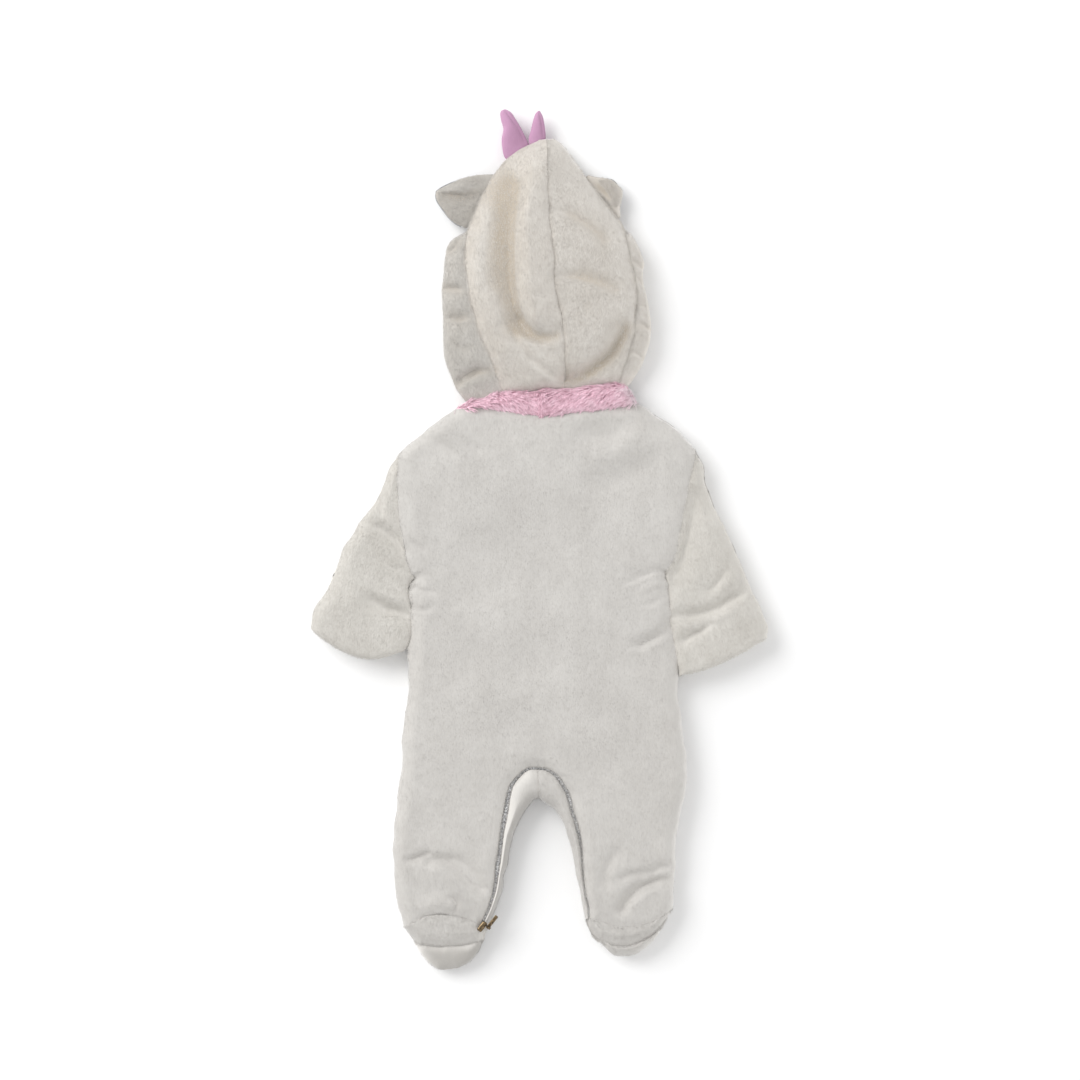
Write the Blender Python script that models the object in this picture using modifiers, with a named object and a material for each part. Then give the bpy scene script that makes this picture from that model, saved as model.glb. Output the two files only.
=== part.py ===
"""Padded plush sleepsuit with feet and a hood, laid face down on a flat surface.

The back panel is on top, the head end points to +Y and the origin is under the middle of the suit.
Every piece of cloth is a padded wall between two matching grids of points. Its plan comes from a
short table of rows, and its height from one rule: a panel is level in the middle and rounds down
to each of its seams. Tables and sizes are in millimetres, and the meshes are in metres.
"""

from collections import namedtuple

import bmesh
import bpy
import numpy as np
from mathutils import Matrix

MM = 0.001

# Driving dimensions, in millimetres
GAP = 0.3               # between neighbouring pieces
MID = 14.0              # height of the side seams, halfway up the padded body
SLEEVE_TOP = 27.0       # height of the padded sleeves
LAYERS_APART = 1.6      # between the inner faces of the front and the back
SIDE_ROUND = 22.0       # width over which the back rounds down to a side seam
FLOOR_ROUND = 13.0      # width over which the front rounds up to a side seam
SEAM_ROUND = 12.0       # width over which a panel rounds down to a sewn seam
SEAM_LEVEL = 23.0       # height of the armhole, neck and heel seams
ZIP_LEVEL = 22.0        # height of the cloth's edges beside the zip
TOE_LEVEL = 19.0        # height of the seam over the toes
FOLD_LEVEL = 13.0       # height of the folded edges of a front panel
ARMHOLE_FLOOR = 2.0     # height of the armhole seam on the underside
HEM = 2.0               # how far an inner face stays back from its panel's edge
HEM_SHARE = 0.8         # largest share of the way to the next points that a hem takes
STRIP_HEM = 0.3         # largest share of a narrow strip's width that a hem takes
THINNEST = 1.0          # least thickness of the cloth over the toes
HOOD_WALL = 6.5         # thickness of the padded hood
HOOD_INSET = 5.0        # how far the inner face of a back panel stays in from its outer seam
HEM_RISE = 0.5          # rise of an inner face above the lower edge of its panel
CENTRE_DIP = 2.0        # depth of the hood's centre seam
CENTRE_ROUND = 7.0
SIDE_BEND = 12.0        # radius of the hood's side panels where they turn under
FLAP_INSET = 2.5        # how far the side panel lies in from the outline under the hood's top
CUFF_DIP = 4.0          # how far a sleeve rounds down at its cuff
CUFF_ROUND = 7.0
COLLAR_TOP = 27.0
COLLAR_ROUND = 9.0
COLLAR_COLUMNS = 19
ZIP_THICK = 2.2
ZIP_CROWN = 0.9         # rise of the chain above the tape's edges
ZIP_SUNK = 0.8          # depth of the tape's edges below the cloth beside it
LEAF_EDGE = 0.3         # share of a stuffed leaf's thickness at its edges
LINING_THICK = 1.0
LINING_SHOWS = 0.7      # how far an ear's lining shows past the ear
HOOD_ROUND = 46.0       # width over which the hood rounds down to its seams
FLAP_WALL = 3.6         # thickness of the hood's side panel where it runs under the hood's top
FLAP_LEVEL = 7.9        # height of the side panel's seam there
FACE_REACH = 44.0       # from the hood's outline to the edge of the face opening, on the floor
TUCK_LEVEL = 13.0       # height of the side panel's seam halfway to where it runs under the top
BEND_SHARE = 0.55       # largest share of a side panel's height that its bend takes
COLLAR_GAP = 0.75       # between the collar and the hood
TOE_END = 0.94          # share of the toe seam where the heel seam's last point leads
EDGE_GAP = 0.4          # between curved edges, whose meshes cut their corners
SHARP = 50              # edges that turn by more than this many degrees are shaded sharp
STEPS = 2               # mesh rows for each row of a table
STRAIGHTEN = 5          # rows of a table over which the front's rows straighten below the crotch

# Shares of the way across a panel where its columns of points lie
TRUNK_SHARES = np.array([0, 0.024, 0.07, 0.15, 0.27, 0.40, 0.54, 0.68, 0.82, 0.93, 1])
LEG_SHARES = np.array([0, 0.03, 0.09, 0.19, 0.31, 0.44, 0.57, 0.70, 0.82, 0.93, 1])
STRIP_SHARES = np.array([0, 0.18, 0.45, 0.75, 1])
HOOD_SHARES = np.array([0, 0.05, 0.14, 0.26, 0.38, 0.50, 0.61, 0.72, 0.82, 0.91, 1])
LEAF_SHARES = np.array([0, 0.08, 0.28, 0.5, 0.72, 0.92, 1])
SOLE_SHARES = np.array([0, 0.2, 0.5, 0.8, 1])
COLLAR_SHARES = np.array([0, 0.16, 0.5, 0.84, 1])

# Level of the top of the body along Y: it thins at the neck and over the toes
LEVEL_Y = np.array([-410, -392, -372, -345, 95, 125])
LEVEL_Z = np.array([19, 23, 27, 29, 29, 27])

TrunkRow = namedtuple("TrunkRow", "left_x left_y middle_x middle_y right_x right_y")
TRUNK = [
    TrunkRow(-81, 124, 6, 117, 93, 130),
    TrunkRow(-105, 106, 6, 107, 118, 114),
    TrunkRow(-121, 95, 6, 98, 136, 101),
    TrunkRow(-132, 84, 6, 89, 147, 87),
    TrunkRow(-134.5, 73, 6, 79, 146, 74),
    TrunkRow(-135, 55, 6, 62, 142, 57),
    TrunkRow(-135, 30, 5, 37, 137, 31),
    TrunkRow(-131, 4, 5, 10, 132, 4),
    TrunkRow(-127, -18, 4, -14, 127, -17),
    TrunkRow(-122, -30, 4, -29, 121, -28),
    TrunkRow(-119, -37, 4, -38, 119, -34),
    TrunkRow(-122.5, -49, 3, -51, 121, -48),
    TrunkRow(-121, -66, 3, -68, 123, -65),
    TrunkRow(-122, -87, 2, -89, 126, -88),
    TrunkRow(-124, -119, 1, -120, 131, -120),
    TrunkRow(-125, -147, 0, -149, 131, -147),
    TrunkRow(-130, -183, -1, -183, 136, -184),
    TrunkRow(-131, -213, -2, -213, 139, -213),
]
SHOULDER_ROW = 3        # row of the table that starts at the shoulder points
UNDERARM_ROW = 10       # row of the table that starts at the underarms
NECK = np.array([
    (-81, 124), (-61, 126), (-42, 124.5), (-20, 121), (5, 118.5), (30, 121.5), (66, 127), (93, 130),
])
FRONT_NECK_Y = 134.0    # the front reaches this far up, under the collar
CROTCH = np.array([0, -246])

# Rows of a leg run from its outline over the zip to the inner leg; sag moves a row's middle along Y
LegRow = namedtuple("LegRow", "outer_x outer_y zip_x zip_y inner_x inner_y zip_half sag")
LEFT_LEG = [
    LegRow(-131, -213, -2, -217, 0, -246, 1.5, 0),
    LegRow(-132, -223, -12, -218, -5, -248, 1.7, 0),
    LegRow(-134, -236, -23, -227.5, -13, -257, 2.2, 0),
    LegRow(-136, -253, -30, -241, -19, -268, 2.9, 0),
    LegRow(-138.5, -272, -34, -263, -24.5, -281, 3.3, 0),
    LegRow(-139.5, -293, -38, -289, -29, -298, 3.3, 0),
    LegRow(-138.5, -312, -40.5, -311, -33, -316, 3.0, 0),
    LegRow(-137.5, -331, -43.5, -330, -36.5, -333, 2.5, 0),
    LegRow(-135, -348, -47.5, -347, -41.5, -349, 2.0, 2),
    LegRow(-130, -367, -56, -366, -49.5, -368, 1.7, 11),
]
RIGHT_LEG = [
    LegRow(139, -213, -2, -217, 0, -246, 1.5, 0),
    LegRow(139.5, -221, 7, -218, 5, -250, 1.8, 0),
    LegRow(138.5, -233, 16.5, -225, 12, -256, 2.3, 0),
    LegRow(136.5, -248, 25, -240, 19, -266, 2.8, 0),
    LegRow(133, -266, 31.5, -260, 25.5, -278, 2.9, 0),
    LegRow(129.5, -287, 36.5, -281, 30, -294, 2.3, 0),
    LegRow(128, -306, 39.5, -300, 34, -312, 1.2, 0),
    LegRow(128, -323, 41, -320, 37, -330, 0.9, 0),
    LegRow(127.5, -339, 43.5, -341, 40, -347, 0.8, -4),
    LegRow(126, -351, 47, -359, 43.5, -362, 0.8, -11),
]

# Rows of a foot, from the heel seam to the tip of the toes
FootRow = namedtuple("FootRow", "outer_x outer_y inner_x inner_y sag")
LEFT_FOOT = [
    FootRow(-119, -382, -54, -380, -4),
    FootRow(-113, -394, -58.5, -392, -3),
    FootRow(-105.5, -403, -67, -401.5, -3),
    FootRow(-97, -408.5, -79, -408.5, -1),
]
RIGHT_FOOT = [
    FootRow(121, -360, 49.5, -375, -17),
    FootRow(114, -372, 56, -383, -9),
    FootRow(103.5, -385.5, 63, -389.5, -4),
    FootRow(91, -394.5, 71.5, -396, -1),
]

# Rows of a sleeve, from the armhole to the cuff; the first one follows the armhole
SleeveRow = namedtuple("SleeveRow", "outer_x outer_y inner_x inner_y sag")
LEFT_SLEEVE = [
    SleeveRow(-132.5, 84, -119.5, -37, 0),
    SleeveRow(-144.5, 64, -124.5, -44, 0),
    SleeveRow(-154, 39.5, -124.5, -55, 0),
    SleeveRow(-172, 16, -123.5, -65, 0),
    SleeveRow(-185.5, -7, -123.5, -75, 0),
    SleeveRow(-196, -31, -124, -84, -1),
    SleeveRow(-206, -52.5, -125, -92, -4),
    SleeveRow(-216, -69, -127, -100, -10),
    SleeveRow(-218, -83, -131, -105, -17),
]
RIGHT_SLEEVE = [
    SleeveRow(147.5, 87, 119.5, -34, 0),
    SleeveRow(155, 71, 122.5, -42, 0),
    SleeveRow(157.5, 53, 124, -53, 0),
    SleeveRow(165, 31.5, 125, -64, 0),
    SleeveRow(175.5, 12, 126.5, -74, 0),
    SleeveRow(186, -11, 128.5, -86, -1),
    SleeveRow(197.5, -39, 131, -98, -2),
    SleeveRow(208.5, -61, 134, -109, -3),
    SleeveRow(216.5, -81, 136.5, -119, -4),
    SleeveRow(216, -92, 138, -129, -5),
]

# Rows of the hood, from the neck to its peak: the seams of the back panels, the outline of the side
# panels, the height of the two outer seams and the height of the hood between them
HoodRow = namedtuple(
    "HoodRow",
    "left_x left_y middle_x middle_y right_x right_y"
    " outline_left_x outline_left_y outline_right_x outline_right_y left_level right_level top",
)
HOOD = [
    HoodRow(-35, 139.5, 23, 143, 75, 147.5, -69.5, 131.5, 84, 145.5, 21, 21, 27),
    HoodRow(-42, 158, 23, 158.5, 77.5, 160.5, -79, 143.5, 90, 155, 24, 24, 33),
    HoodRow(-48.5, 175, 23, 175, 82.5, 174, -84, 156, 96.5, 166, 27, 27, 38),
    HoodRow(-56, 192, 22.5, 190, 87.5, 190, -90, 171, 102.5, 183.5, 29, 29, 42),
    HoodRow(-62.5, 212, 19.5, 211, 90, 211, -92, 199.5, 105.5, 201.5, 30, 30, 44),
    HoodRow(-67.5, 232, 15.5, 232, 91, 230, -92, 225, 102.5, 224, 31, 31, 45),
    HoodRow(-70.5, 252.5, 13.5, 252, 89.5, 249, -92, 248, 99.5, 244, 31, 31, 45),
    HoodRow(-71, 272.5, 13, 271.5, 85, 269, -89.5, 269, 98, 266, 30, 30, 44),
    HoodRow(-70.5, 287, 10.5, 288, 81.5, 284, -85, 284, 90.5, 284, 27, 27, 43),
    HoodRow(-66.5, 301, 9.5, 302, 76, 302, -66.5, 301, 76, 302, 16.2, 16.2, 42),
    HoodRow(-59, 320, 8.5, 321, 63.5, 318, -59, 320, 63.5, 318, 16.2, 16.2, 40),
    HoodRow(-50.5, 336, 7, 338, 50.5, 336, -50.5, 336, 50.5, 336, 16.2, 16.2, 37),
    HoodRow(-40, 352.5, 6.5, 354, 39, 353.5, -40, 352.5, 39, 353.5, 14, 12, 34),
    HoodRow(-27.5, 366, 6.5, 367.5, 28.5, 367.5, -27.5, 366, 28.5, 367.5, 16.2, 9, 30),
    HoodRow(-13.5, 375, 6.5, 377, 20, 376, -13.5, 375, 20, 376, 16.2, 11, 26),
    HoodRow(0, 381.5, 6.5, 382.3, 13.5, 381.5, 0, 381.5, 13.5, 381.5, 16.2, 15, 21),
]
SIDE_END_ROW = 8        # above this row the hood's side panel runs under the hood's top

# Rows of a stuffed leaf from its root to its tip: its two edges, the height of its middle and half
# its thickness
LeafRow = namedtuple("LeafRow", "first_x first_y second_x second_y level half")
EAR_LEFT = [
    LeafRow(-40, 342, -61, 306, 12.1, 3.5),
    LeafRow(-44, 347, -68.5, 297.5, 12.1, 3.5),
    LeafRow(-55, 346.5, -75, 298.5, 13, 5),
    LeafRow(-65.5, 345, -82, 302, 14, 6),
    LeafRow(-76, 343, -88, 308, 14, 6),
    LeafRow(-85.5, 340, -94, 316, 13, 5.5),
    LeafRow(-94, 336, -98.5, 323, 12, 4.5),
    LeafRow(-99, 332.5, -100, 328.5, 11, 2.5),
]
EAR_RIGHT = [
    LeafRow(41, 340, 66, 308, 12.1, 3.5),
    LeafRow(46, 346.5, 75, 307, 12.1, 3.5),
    LeafRow(54, 345, 76, 314, 12.5, 4.5),
    LeafRow(62.5, 344, 76.5, 321, 13, 5),
    LeafRow(69, 343, 77, 328, 12.5, 4),
    LeafRow(73.5, 339.5, 77.5, 333, 12, 2),
]
CREST_LEFT = [
    LeafRow(-25, 357, -8, 370, 12.1, 3.5),
    LeafRow(-33.5, 364, -12, 379.5, 12.1, 3.5),
    LeafRow(-36, 373.5, -16, 388, 12.5, 5),
    LeafRow(-36.5, 382, -20, 395.5, 13, 6),
    LeafRow(-35, 391, -24, 402, 13, 6),
    LeafRow(-37, 399, -27, 406.5, 13, 5),
    LeafRow(-38, 405.5, -30.5, 409, 13, 3.5),
    LeafRow(-37, 408.5, -33, 410, 13, 2),
]
CREST_RIGHT = [
    LeafRow(-8, 371, 5, 373, 12.1, 3.5),
    LeafRow(-11, 380.5, 5.5, 383.5, 12.1, 3.5),
    LeafRow(-8.5, 391, 5, 390.5, 12.5, 4.5),
    LeafRow(-6.5, 399.5, 4, 397.5, 13, 4.5),
    LeafRow(-4.5, 405.5, 2.5, 403.5, 13, 3.5),
    LeafRow(-2, 408.3, 0, 408.3, 13, 2),
]

# The largest folds: each follows a curve through three points. Its height is above the cloth (or
# below it, if negative), and the widths are how far it reaches to the left and to the right of its
# direction.
Fold = namedtuple("Fold", "x1 y1 x2 y2 x3 y3 height left right")
FOLDS = [
    # Hood: the standing ridge beside the centre seam, the valley next to it and its lower end
    Fold(-2, 218, -8, 288, -5, 352, 9, 12, 17),
    Fold(-22, 205, -33, 262, -27, 330, -9, 20, 9),
    Fold(-22, 205, -6, 192, 14, 194, -6, 8, 6),
    Fold(-38, 182, -60, 240, -54, 305, 4, 14, 16),
    Fold(-44, 228, -21, 187, 6, 155, 4, 10, 8),
    Fold(-35, 201, -18, 177, 5, 152, -4, 7, 6),
    Fold(11, 311, 38, 302, 59, 283, -2.5, 7, 7),
    Fold(15, 247, 43, 248, 68, 237, -3, 8, 5),
    Fold(18, 220, 30, 219, 42, 221, -2, 5, 7),
    Fold(79, 200, 63, 169, 25, 153, -6, 7, 10),
    # Hood sides
    Fold(-90, 240, -80, 238, -71, 235, -3, 6, 6),
    Fold(-84, 210, -76, 210, -67, 210, -3, 8, 8),
    Fold(-90, 273, -82, 278, -74, 285, -2.5, 5, 5),
    Fold(-77, 149, -61, 159, -45, 161, -4, 5, 4),
    Fold(86, 263, 91, 261, 97, 257, -2.5, 4, 4),
    Fold(89, 247, 93, 245, 98, 240, -2.5, 4, 4),
    Fold(91, 203, 98, 202, 105, 199, -2.5, 4, 4),
    # Left sleeve
    Fold(-152, 40, -150, 33, -150, 25, -3, 4, 4),
    Fold(-166, 18, -146, 8, -131, -9, -4.5, 6, 7),
    Fold(-160, -59, -144, -67, -127, -71, -7, 9, 8),
    Fold(-172, -52, -180, -75, -150, -100, 2.5, 16, 16),
    # Right sleeve
    Fold(146, 40, 141, -3, 128, -38, -5, 12, 7),
    Fold(129, -71, 163, -67, 195, -47, -5.5, 7, 6),
    Fold(137, -96, 151, -87, 161, -80, -3.5, 6, 5),
    Fold(160, -49, 168, -41, 175, -32, -2.5, 6, 6),
    # Body
    Fold(95, -100, 113, -89, 120, -76, -3, 6, 4),
    Fold(40, 102, 80, 93, 125, 108, -2, 8, 8),
    Fold(-75, 94, -66, 88, -58, 85, -1.5, 6, 6),
    # Left ankle
    Fold(-125, -304, -116, -301, -107, -297, -3, 4, 4),
    Fold(-103, -304, -77, -306, -56, -331, -6, 6, 6),
    Fold(-96, -318, -84, -332, -92, -346, 4, 16, 16),
    Fold(-82, -340, -79, -349, -87, -357, -2.5, 4, 4),
    # Right ankle
    Fold(77, -350, 92, -329, 125, -323, -6.5, 6, 6),
    Fold(78, -321, 96, -316, 121, -310, -4, 6, 6),
    Fold(71, -297, 62, -310, 63, -324, -2.5, 7, 7),
]
FOLD_SAMPLES = 16
FOLD_REACH = 10.0       # folds fade out this close to a seam

# Zip slider and pull tab
SLIDER_AT = np.array([-54.8, -366.3])
SLIDER_SIZE = (10.5, 5.2, 4.0)
SLIDER_ANGLE = 51.5     # of the slider and the tab, anticlockwise from +X, in degrees
SLIDER_FLOAT = -0.3     # above the highest cloth under it; the mesh of the cloth lies a little lower
PIN_ALONG = 3.2         # the pin's place along the slider, from its middle
PIN_RADIUS = 0.7
PIN_END = 6.9           # the pin's head lies this far out from the slider's middle
PIN_HEAD = 1.5          # radius of the head that keeps the tab on its pin
PIN_HEAD_LENGTH = 0.7
PIN_RISE = 0.4          # middle of the pin above the slider's top
PIN_INSIDE = 0.5        # the pin starts this far out from the slider's middle
SLIDER_BEVEL = 1.1
TAB_BEVEL = 0.5
KNUCKLE_SIDE = 4.6      # middle of the tab and its knuckle, out from the slider's middle
KNUCKLE_LENGTH = 3.2
KNUCKLE_RADIUS = 1.7
KNUCKLE_BORE = 1.05
TAB_SIZE = (12.5, 3.4, 1.3)
TAB_START = 1.02        # the flat tab starts this far from the pin, inside its knuckle

Material = namedtuple("Material", "red green blue roughness metallic")
PLUSH = Material(0.66, 0.64, 0.61, 0.95, 0)
HOOD_PLUSH = Material(0.66, 0.62, 0.58, 0.95, 0)
PINK_PILE = Material(0.75, 0.40, 0.52, 0.95, 0)
PINK_VELVET = Material(0.68, 0.40, 0.60, 0.8, 0)
SILVER_CLOTH = Material(0.45, 0.46, 0.48, 0.45, 0.5)
ZIP_SILVER = Material(0.42, 0.43, 0.45, 0.4, 0.7)
BRONZE = Material(0.22, 0.17, 0.11, 0.35, 1)


def smoothed(table, steps=STEPS):
    """The table's columns as arrays, on a smooth curve with `steps` rows from each row to the next."""
    rows = np.array(table, float)
    padded = np.vstack([2 * rows[0] - rows[1], rows, 2 * rows[-1] - rows[-2]])
    places = np.linspace(0, len(rows) - 1, (len(rows) - 1) * steps + 1)
    start = np.minimum(places.astype(int), len(rows) - 2)
    t = (places - start)[:, None]
    before, here, after, beyond = (padded[start + k] for k in range(4))
    curve = here + 0.5 * t * (
        after - before
        + t * (2 * before - 5 * here + 4 * after - beyond + t * (3 * (here - after) + beyond - before))
    )
    return type(table[0])(*curve.T)


def pairs(x, y):
    """Points from their X and Y values."""
    return np.stack([x, y], axis=-1)


def parabola(start, middle, end, shares):
    """Points at the shares of the way along the parabola through three points, for every row."""
    s = np.asarray(shares)[..., None]
    start, middle, end = start[:, None], middle[:, None], end[:, None]
    return start * (1 - s) * (1 - 2 * s) + middle * 4 * s * (1 - s) + end * s * (2 * s - 1)


def unit(vectors):
    return vectors / np.maximum(np.linalg.norm(vectors, axis=-1, keepdims=True), 1e-9)


def normals(line):
    """Unit normals of a line of points, to the left of its direction."""
    tangent = unit(np.gradient(line, axis=0))
    return pairs(-tangent[:, 1], tangent[:, 0])


def along(line, shares):
    """Points at the shares of a line's length."""
    length = np.concatenate([[0], np.cumsum(np.linalg.norm(np.diff(line, axis=0), axis=1))])
    places = np.asarray(shares) * length[-1]
    return pairs(np.interp(places, length, line[:, 0]), np.interp(places, length, line[:, 1]))


def nearest(plan, line):
    """Distance from every point of the plan to a line, and the place of the nearest point on it."""
    start, step = line[:-1], np.diff(line, axis=0)
    offset = plan[..., None, :] - start
    share = np.clip((offset * step).sum(-1) / np.maximum((step * step).sum(-1), 1e-9), 0, 1)
    distance = np.linalg.norm(offset - share[..., None] * step, axis=-1)
    best = distance.argmin(-1)[..., None]
    place = np.take_along_axis(share, best, -1)[..., 0] + best[..., 0]
    return np.take_along_axis(distance, best, -1)[..., 0], place


def risen(distance, width):
    """Quarter round: 0 at a seam and 1 from the given width on."""
    return np.sqrt(1 - (1 - np.clip(distance / width, 0, 1)) ** 2)


Seam = namedtuple("Seam", "line level width")


def padded_height(plan, top, seams):
    """Height that is level at `top` and rounds to each seam's own level over the seam's width."""
    change = np.zeros(plan.shape[:-1])
    for seam in seams:
        distance, place = nearest(plan, seam.line)
        level = np.interp(place, np.arange(len(seam.line)), np.broadcast_to(seam.level, len(seam.line)))
        effect = (level - top) * (1 - risen(distance, seam.width))
        change = np.where(np.abs(effect) > np.abs(change), effect, change)
    return top + change


def fold_height(plan):
    """Sum of the folds at every point: each is a bell across its curve, wider on one side."""
    t = np.linspace(0, 1, FOLD_SAMPLES)
    height = np.zeros(plan.shape[:-1])
    for fold in FOLDS:
        ends = [np.array([[fold[k], fold[k + 1]]], float) for k in (0, 2, 4)]
        curve = parabola(*ends, t)[0]
        distance, place = nearest(plan, curve)
        first = np.minimum(place.astype(int), FOLD_SAMPLES - 2)
        step = curve[first + 1] - curve[first]
        offset = plan - curve[first]
        across = step[..., 0] * offset[..., 1] - step[..., 1] * offset[..., 0]
        across /= np.linalg.norm(step, axis=-1) * np.maximum(np.linalg.norm(offset, axis=-1), 1e-6)
        leftward = 0.5 + 0.5 * np.clip(across, -1, 1)
        width = fold.right + (fold.left - fold.right) * leftward
        height += fold.height * np.exp(-((distance / width) ** 2))
    return height


def seam_distance(plan, seams):
    return np.min([nearest(plan, seam.line)[0] for seam in seams], axis=0)


def solid_points(plan, height):
    return np.concatenate([plan, np.broadcast_to(height, plan.shape[:-1])[..., None]], axis=-1)


def hem_step(edge, neighbour):
    """Step from an edge towards the points next to it: the hem, but never as far as those points."""
    step = neighbour - edge
    length = np.linalg.norm(step, axis=-1, keepdims=True)
    return unit(step) * np.minimum(HEM, HEM_SHARE * length)


def hemmed(plan, sides):
    """The plan with its edge rows and columns moved in: sides names start, end, first and last."""
    inner = plan.copy()
    if "start" in sides:
        inner[0] += hem_step(plan[0], plan[1])
    if "end" in sides:
        inner[-1] += hem_step(plan[-1], plan[-2])
    if "first" in sides:
        inner[:, 0] += hem_step(plan[:, 0], plan[:, 1])
    if "last" in sides:
        inner[:, -1] += hem_step(plan[:, -1], plan[:, -2])
    return inner


Patch = namedtuple("Patch", "outer inner")


def make_material(name, look):
    material = bpy.data.materials.new(name)
    material.use_nodes = True
    shader = material.node_tree.nodes["Principled BSDF"]
    shader.inputs["Base Color"].default_value = (look.red, look.green, look.blue, 1)
    shader.inputs["Roughness"].default_value = look.roughness
    shader.inputs["Metallic"].default_value = look.metallic
    return material


def add_mesh(name, vertices, faces, look):
    mesh = bpy.data.meshes.new(name)
    mesh.from_pydata(vertices.tolist(), [], faces)
    mesh.materials.append(make_material(name, look))
    piece = bpy.data.objects.new(name, mesh)
    suit.objects.link(piece)
    return piece


def turn_outward(piece):
    """Turn every face's normal out and shade the piece smooth."""
    shape = bmesh.new()
    shape.from_mesh(piece.data)
    bmesh.ops.recalc_face_normals(shape, faces=shape.faces)
    shape.to_mesh(piece.data)
    shape.free()
    piece.data.shade_smooth()
    piece.data.set_sharp_from_angle(angle=np.radians(SHARP))


def wall(name, patches, look):
    """Closed padded wall: the outer grids, welded where they meet, the inner ones, and a rim between."""
    outer = np.concatenate([patch.outer.reshape(-1, 3) for patch in patches])
    inner = np.concatenate([patch.inner.reshape(-1, 3) for patch in patches])
    _, kept, number = np.unique(np.round(outer, 3), axis=0, return_index=True, return_inverse=True)
    number = number.reshape(-1)
    count = len(kept)
    faces, uses, first = [], {}, 0
    for patch in patches:
        rows, columns = patch.outer.shape[:2]
        grid = number[first:first + rows * columns].reshape(rows, columns)
        first += rows * columns
        quads = np.stack([grid[:-1, :-1], grid[1:, :-1], grid[1:, 1:], grid[:-1, 1:]], axis=-1)
        for quad in quads.reshape(-1, 4).tolist():
            corners = list(dict.fromkeys(quad))
            if len(corners) < 3:
                continue
            faces.append(corners)
            faces.append([corner + count for corner in reversed(corners)])
            for a, b in zip(corners, corners[1:] + corners[:1]):
                uses.setdefault(frozenset((a, b)), []).append((a, b))
    for edges in uses.values():
        if len(edges) == 1:
            a, b = edges[0]
            faces.append([b, a, a + count, b + count])
    piece = add_mesh(name, np.concatenate([outer[kept], inner[kept]]) * MM, faces, look)
    turn_outward(piece)
    return piece


# ---------------------------------------------------------------- plan of the body

trunk = smoothed(TRUNK)
left_leg, right_leg = smoothed(LEFT_LEG), smoothed(RIGHT_LEG)
shoulder, underarm = SHOULDER_ROW * STEPS, UNDERARM_ROW * STEPS
trunk_left, trunk_right = pairs(trunk.left_x, trunk.left_y), pairs(trunk.right_x, trunk.right_y)
trunk_middle = pairs(trunk.middle_x, trunk.middle_y)


def zip_curve():
    """The zip's middle line from the left ankle over the crotch to the right one, and its half width."""
    left, right = pairs(left_leg.zip_x, left_leg.zip_y), pairs(right_leg.zip_x, right_leg.zip_y)
    line = np.concatenate([left[::-1], right[1:]])
    half = np.concatenate([left_leg.zip_half[::-1], right_leg.zip_half[1:]])
    return line, half[:, None]


zip_line, zip_half = zip_curve()
APEX = len(left_leg.zip_x) - 1      # place of the crotch on the zip's line
zip_out = zip_line + normals(zip_line) * (zip_half + GAP)
zip_in = zip_line - normals(zip_line) * (zip_half + GAP)


def leg_lines(leg, foot, side):
    """Outline, inner outline and zip edges of one leg, from the crotch to the ankle or the toes."""
    rows = slice(APEX, None, -1) if side < 0 else slice(APEX, None)
    ankle = FootRow(leg.outer_x[-1], leg.outer_y[-1], leg.inner_x[-1], leg.inner_y[-1], leg.sag[-1])
    shape = smoothed([ankle] + foot)
    return {
        "outer": pairs(leg.outer_x, leg.outer_y),
        "inner": pairs(leg.inner_x, leg.inner_y),
        "back_edge": zip_out[rows],
        "front_edge": zip_in[rows],
        "sag": leg.sag,
        "foot_outer": pairs(shape.outer_x, shape.outer_y),
        "foot_inner": pairs(shape.inner_x, shape.inner_y),
        "foot_sag": shape.sag,
    }


legs = {-1: leg_lines(left_leg, LEFT_FOOT, -1), 1: leg_lines(right_leg, RIGHT_FOOT, 1)}
sides = {-1: trunk_left, 1: trunk_right}
NAMES = {-1: "left", 1: "right"}


def sagging(outer, inner, sag, shares):
    """Rows from the outer to the inner line whose middle is moved by the sag along Y."""
    middle = (outer + inner) / 2 + pairs(0 * sag, sag)
    return parabola(outer, middle, inner, shares)


def toe_seam(leg, shares):
    """Line where the sole meets the front's toe, from the outer side to the inner."""
    row = slice(STEPS, STEPS + 1)
    return sagging(leg["foot_outer"][row], leg["foot_inner"][row], leg["foot_sag"][row], shares)[0]


def heel_seam(leg, shares):
    row = slice(-1, None)
    return sagging(leg["outer"][row], leg["back_edge"][row], leg["sag"][row], shares)[0]


def body_seams():
    """Every seam and fold that the top of the body rounds down to."""
    shares = np.linspace(0, 1, 9)
    seams = [Seam(along(NECK, shares), SEAM_LEVEL, SEAM_ROUND), Seam(zip_line, ZIP_LEVEL, SEAM_ROUND)]
    for side, leg in legs.items():
        outline = sides[side]
        seams += [
            Seam(outline[:shoulder + 1], MID, SIDE_ROUND),
            Seam(outline[shoulder:underarm + 1], SEAM_LEVEL, SEAM_ROUND),
            Seam(outline[underarm:], MID, SIDE_ROUND),
            Seam(leg["outer"], MID, SIDE_ROUND),
            Seam(leg["inner"], MID, SEAM_ROUND),
            Seam(np.concatenate([leg["foot_outer"], leg["foot_inner"][::-1]]), FOLD_LEVEL, SIDE_ROUND),
            Seam(heel_seam(leg, shares), SEAM_LEVEL, SEAM_ROUND),
            Seam(toe_seam(leg, shares), TOE_LEVEL, SEAM_ROUND),
        ]
    return seams


BODY_SEAMS = body_seams()
HEM_LEVEL = MID + GAP / 2           # lowest level of a panel that lies over another


def body_top(plan):
    """Height of the body's upper side, with its folds, which fade at the seams."""
    top = np.interp(plan[..., 1], LEVEL_Y, LEVEL_Z)
    faded = risen(seam_distance(plan, BODY_SEAMS), FOLD_REACH)
    return padded_height(plan, top, BODY_SEAMS) + faded * fold_height(plan)


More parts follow.
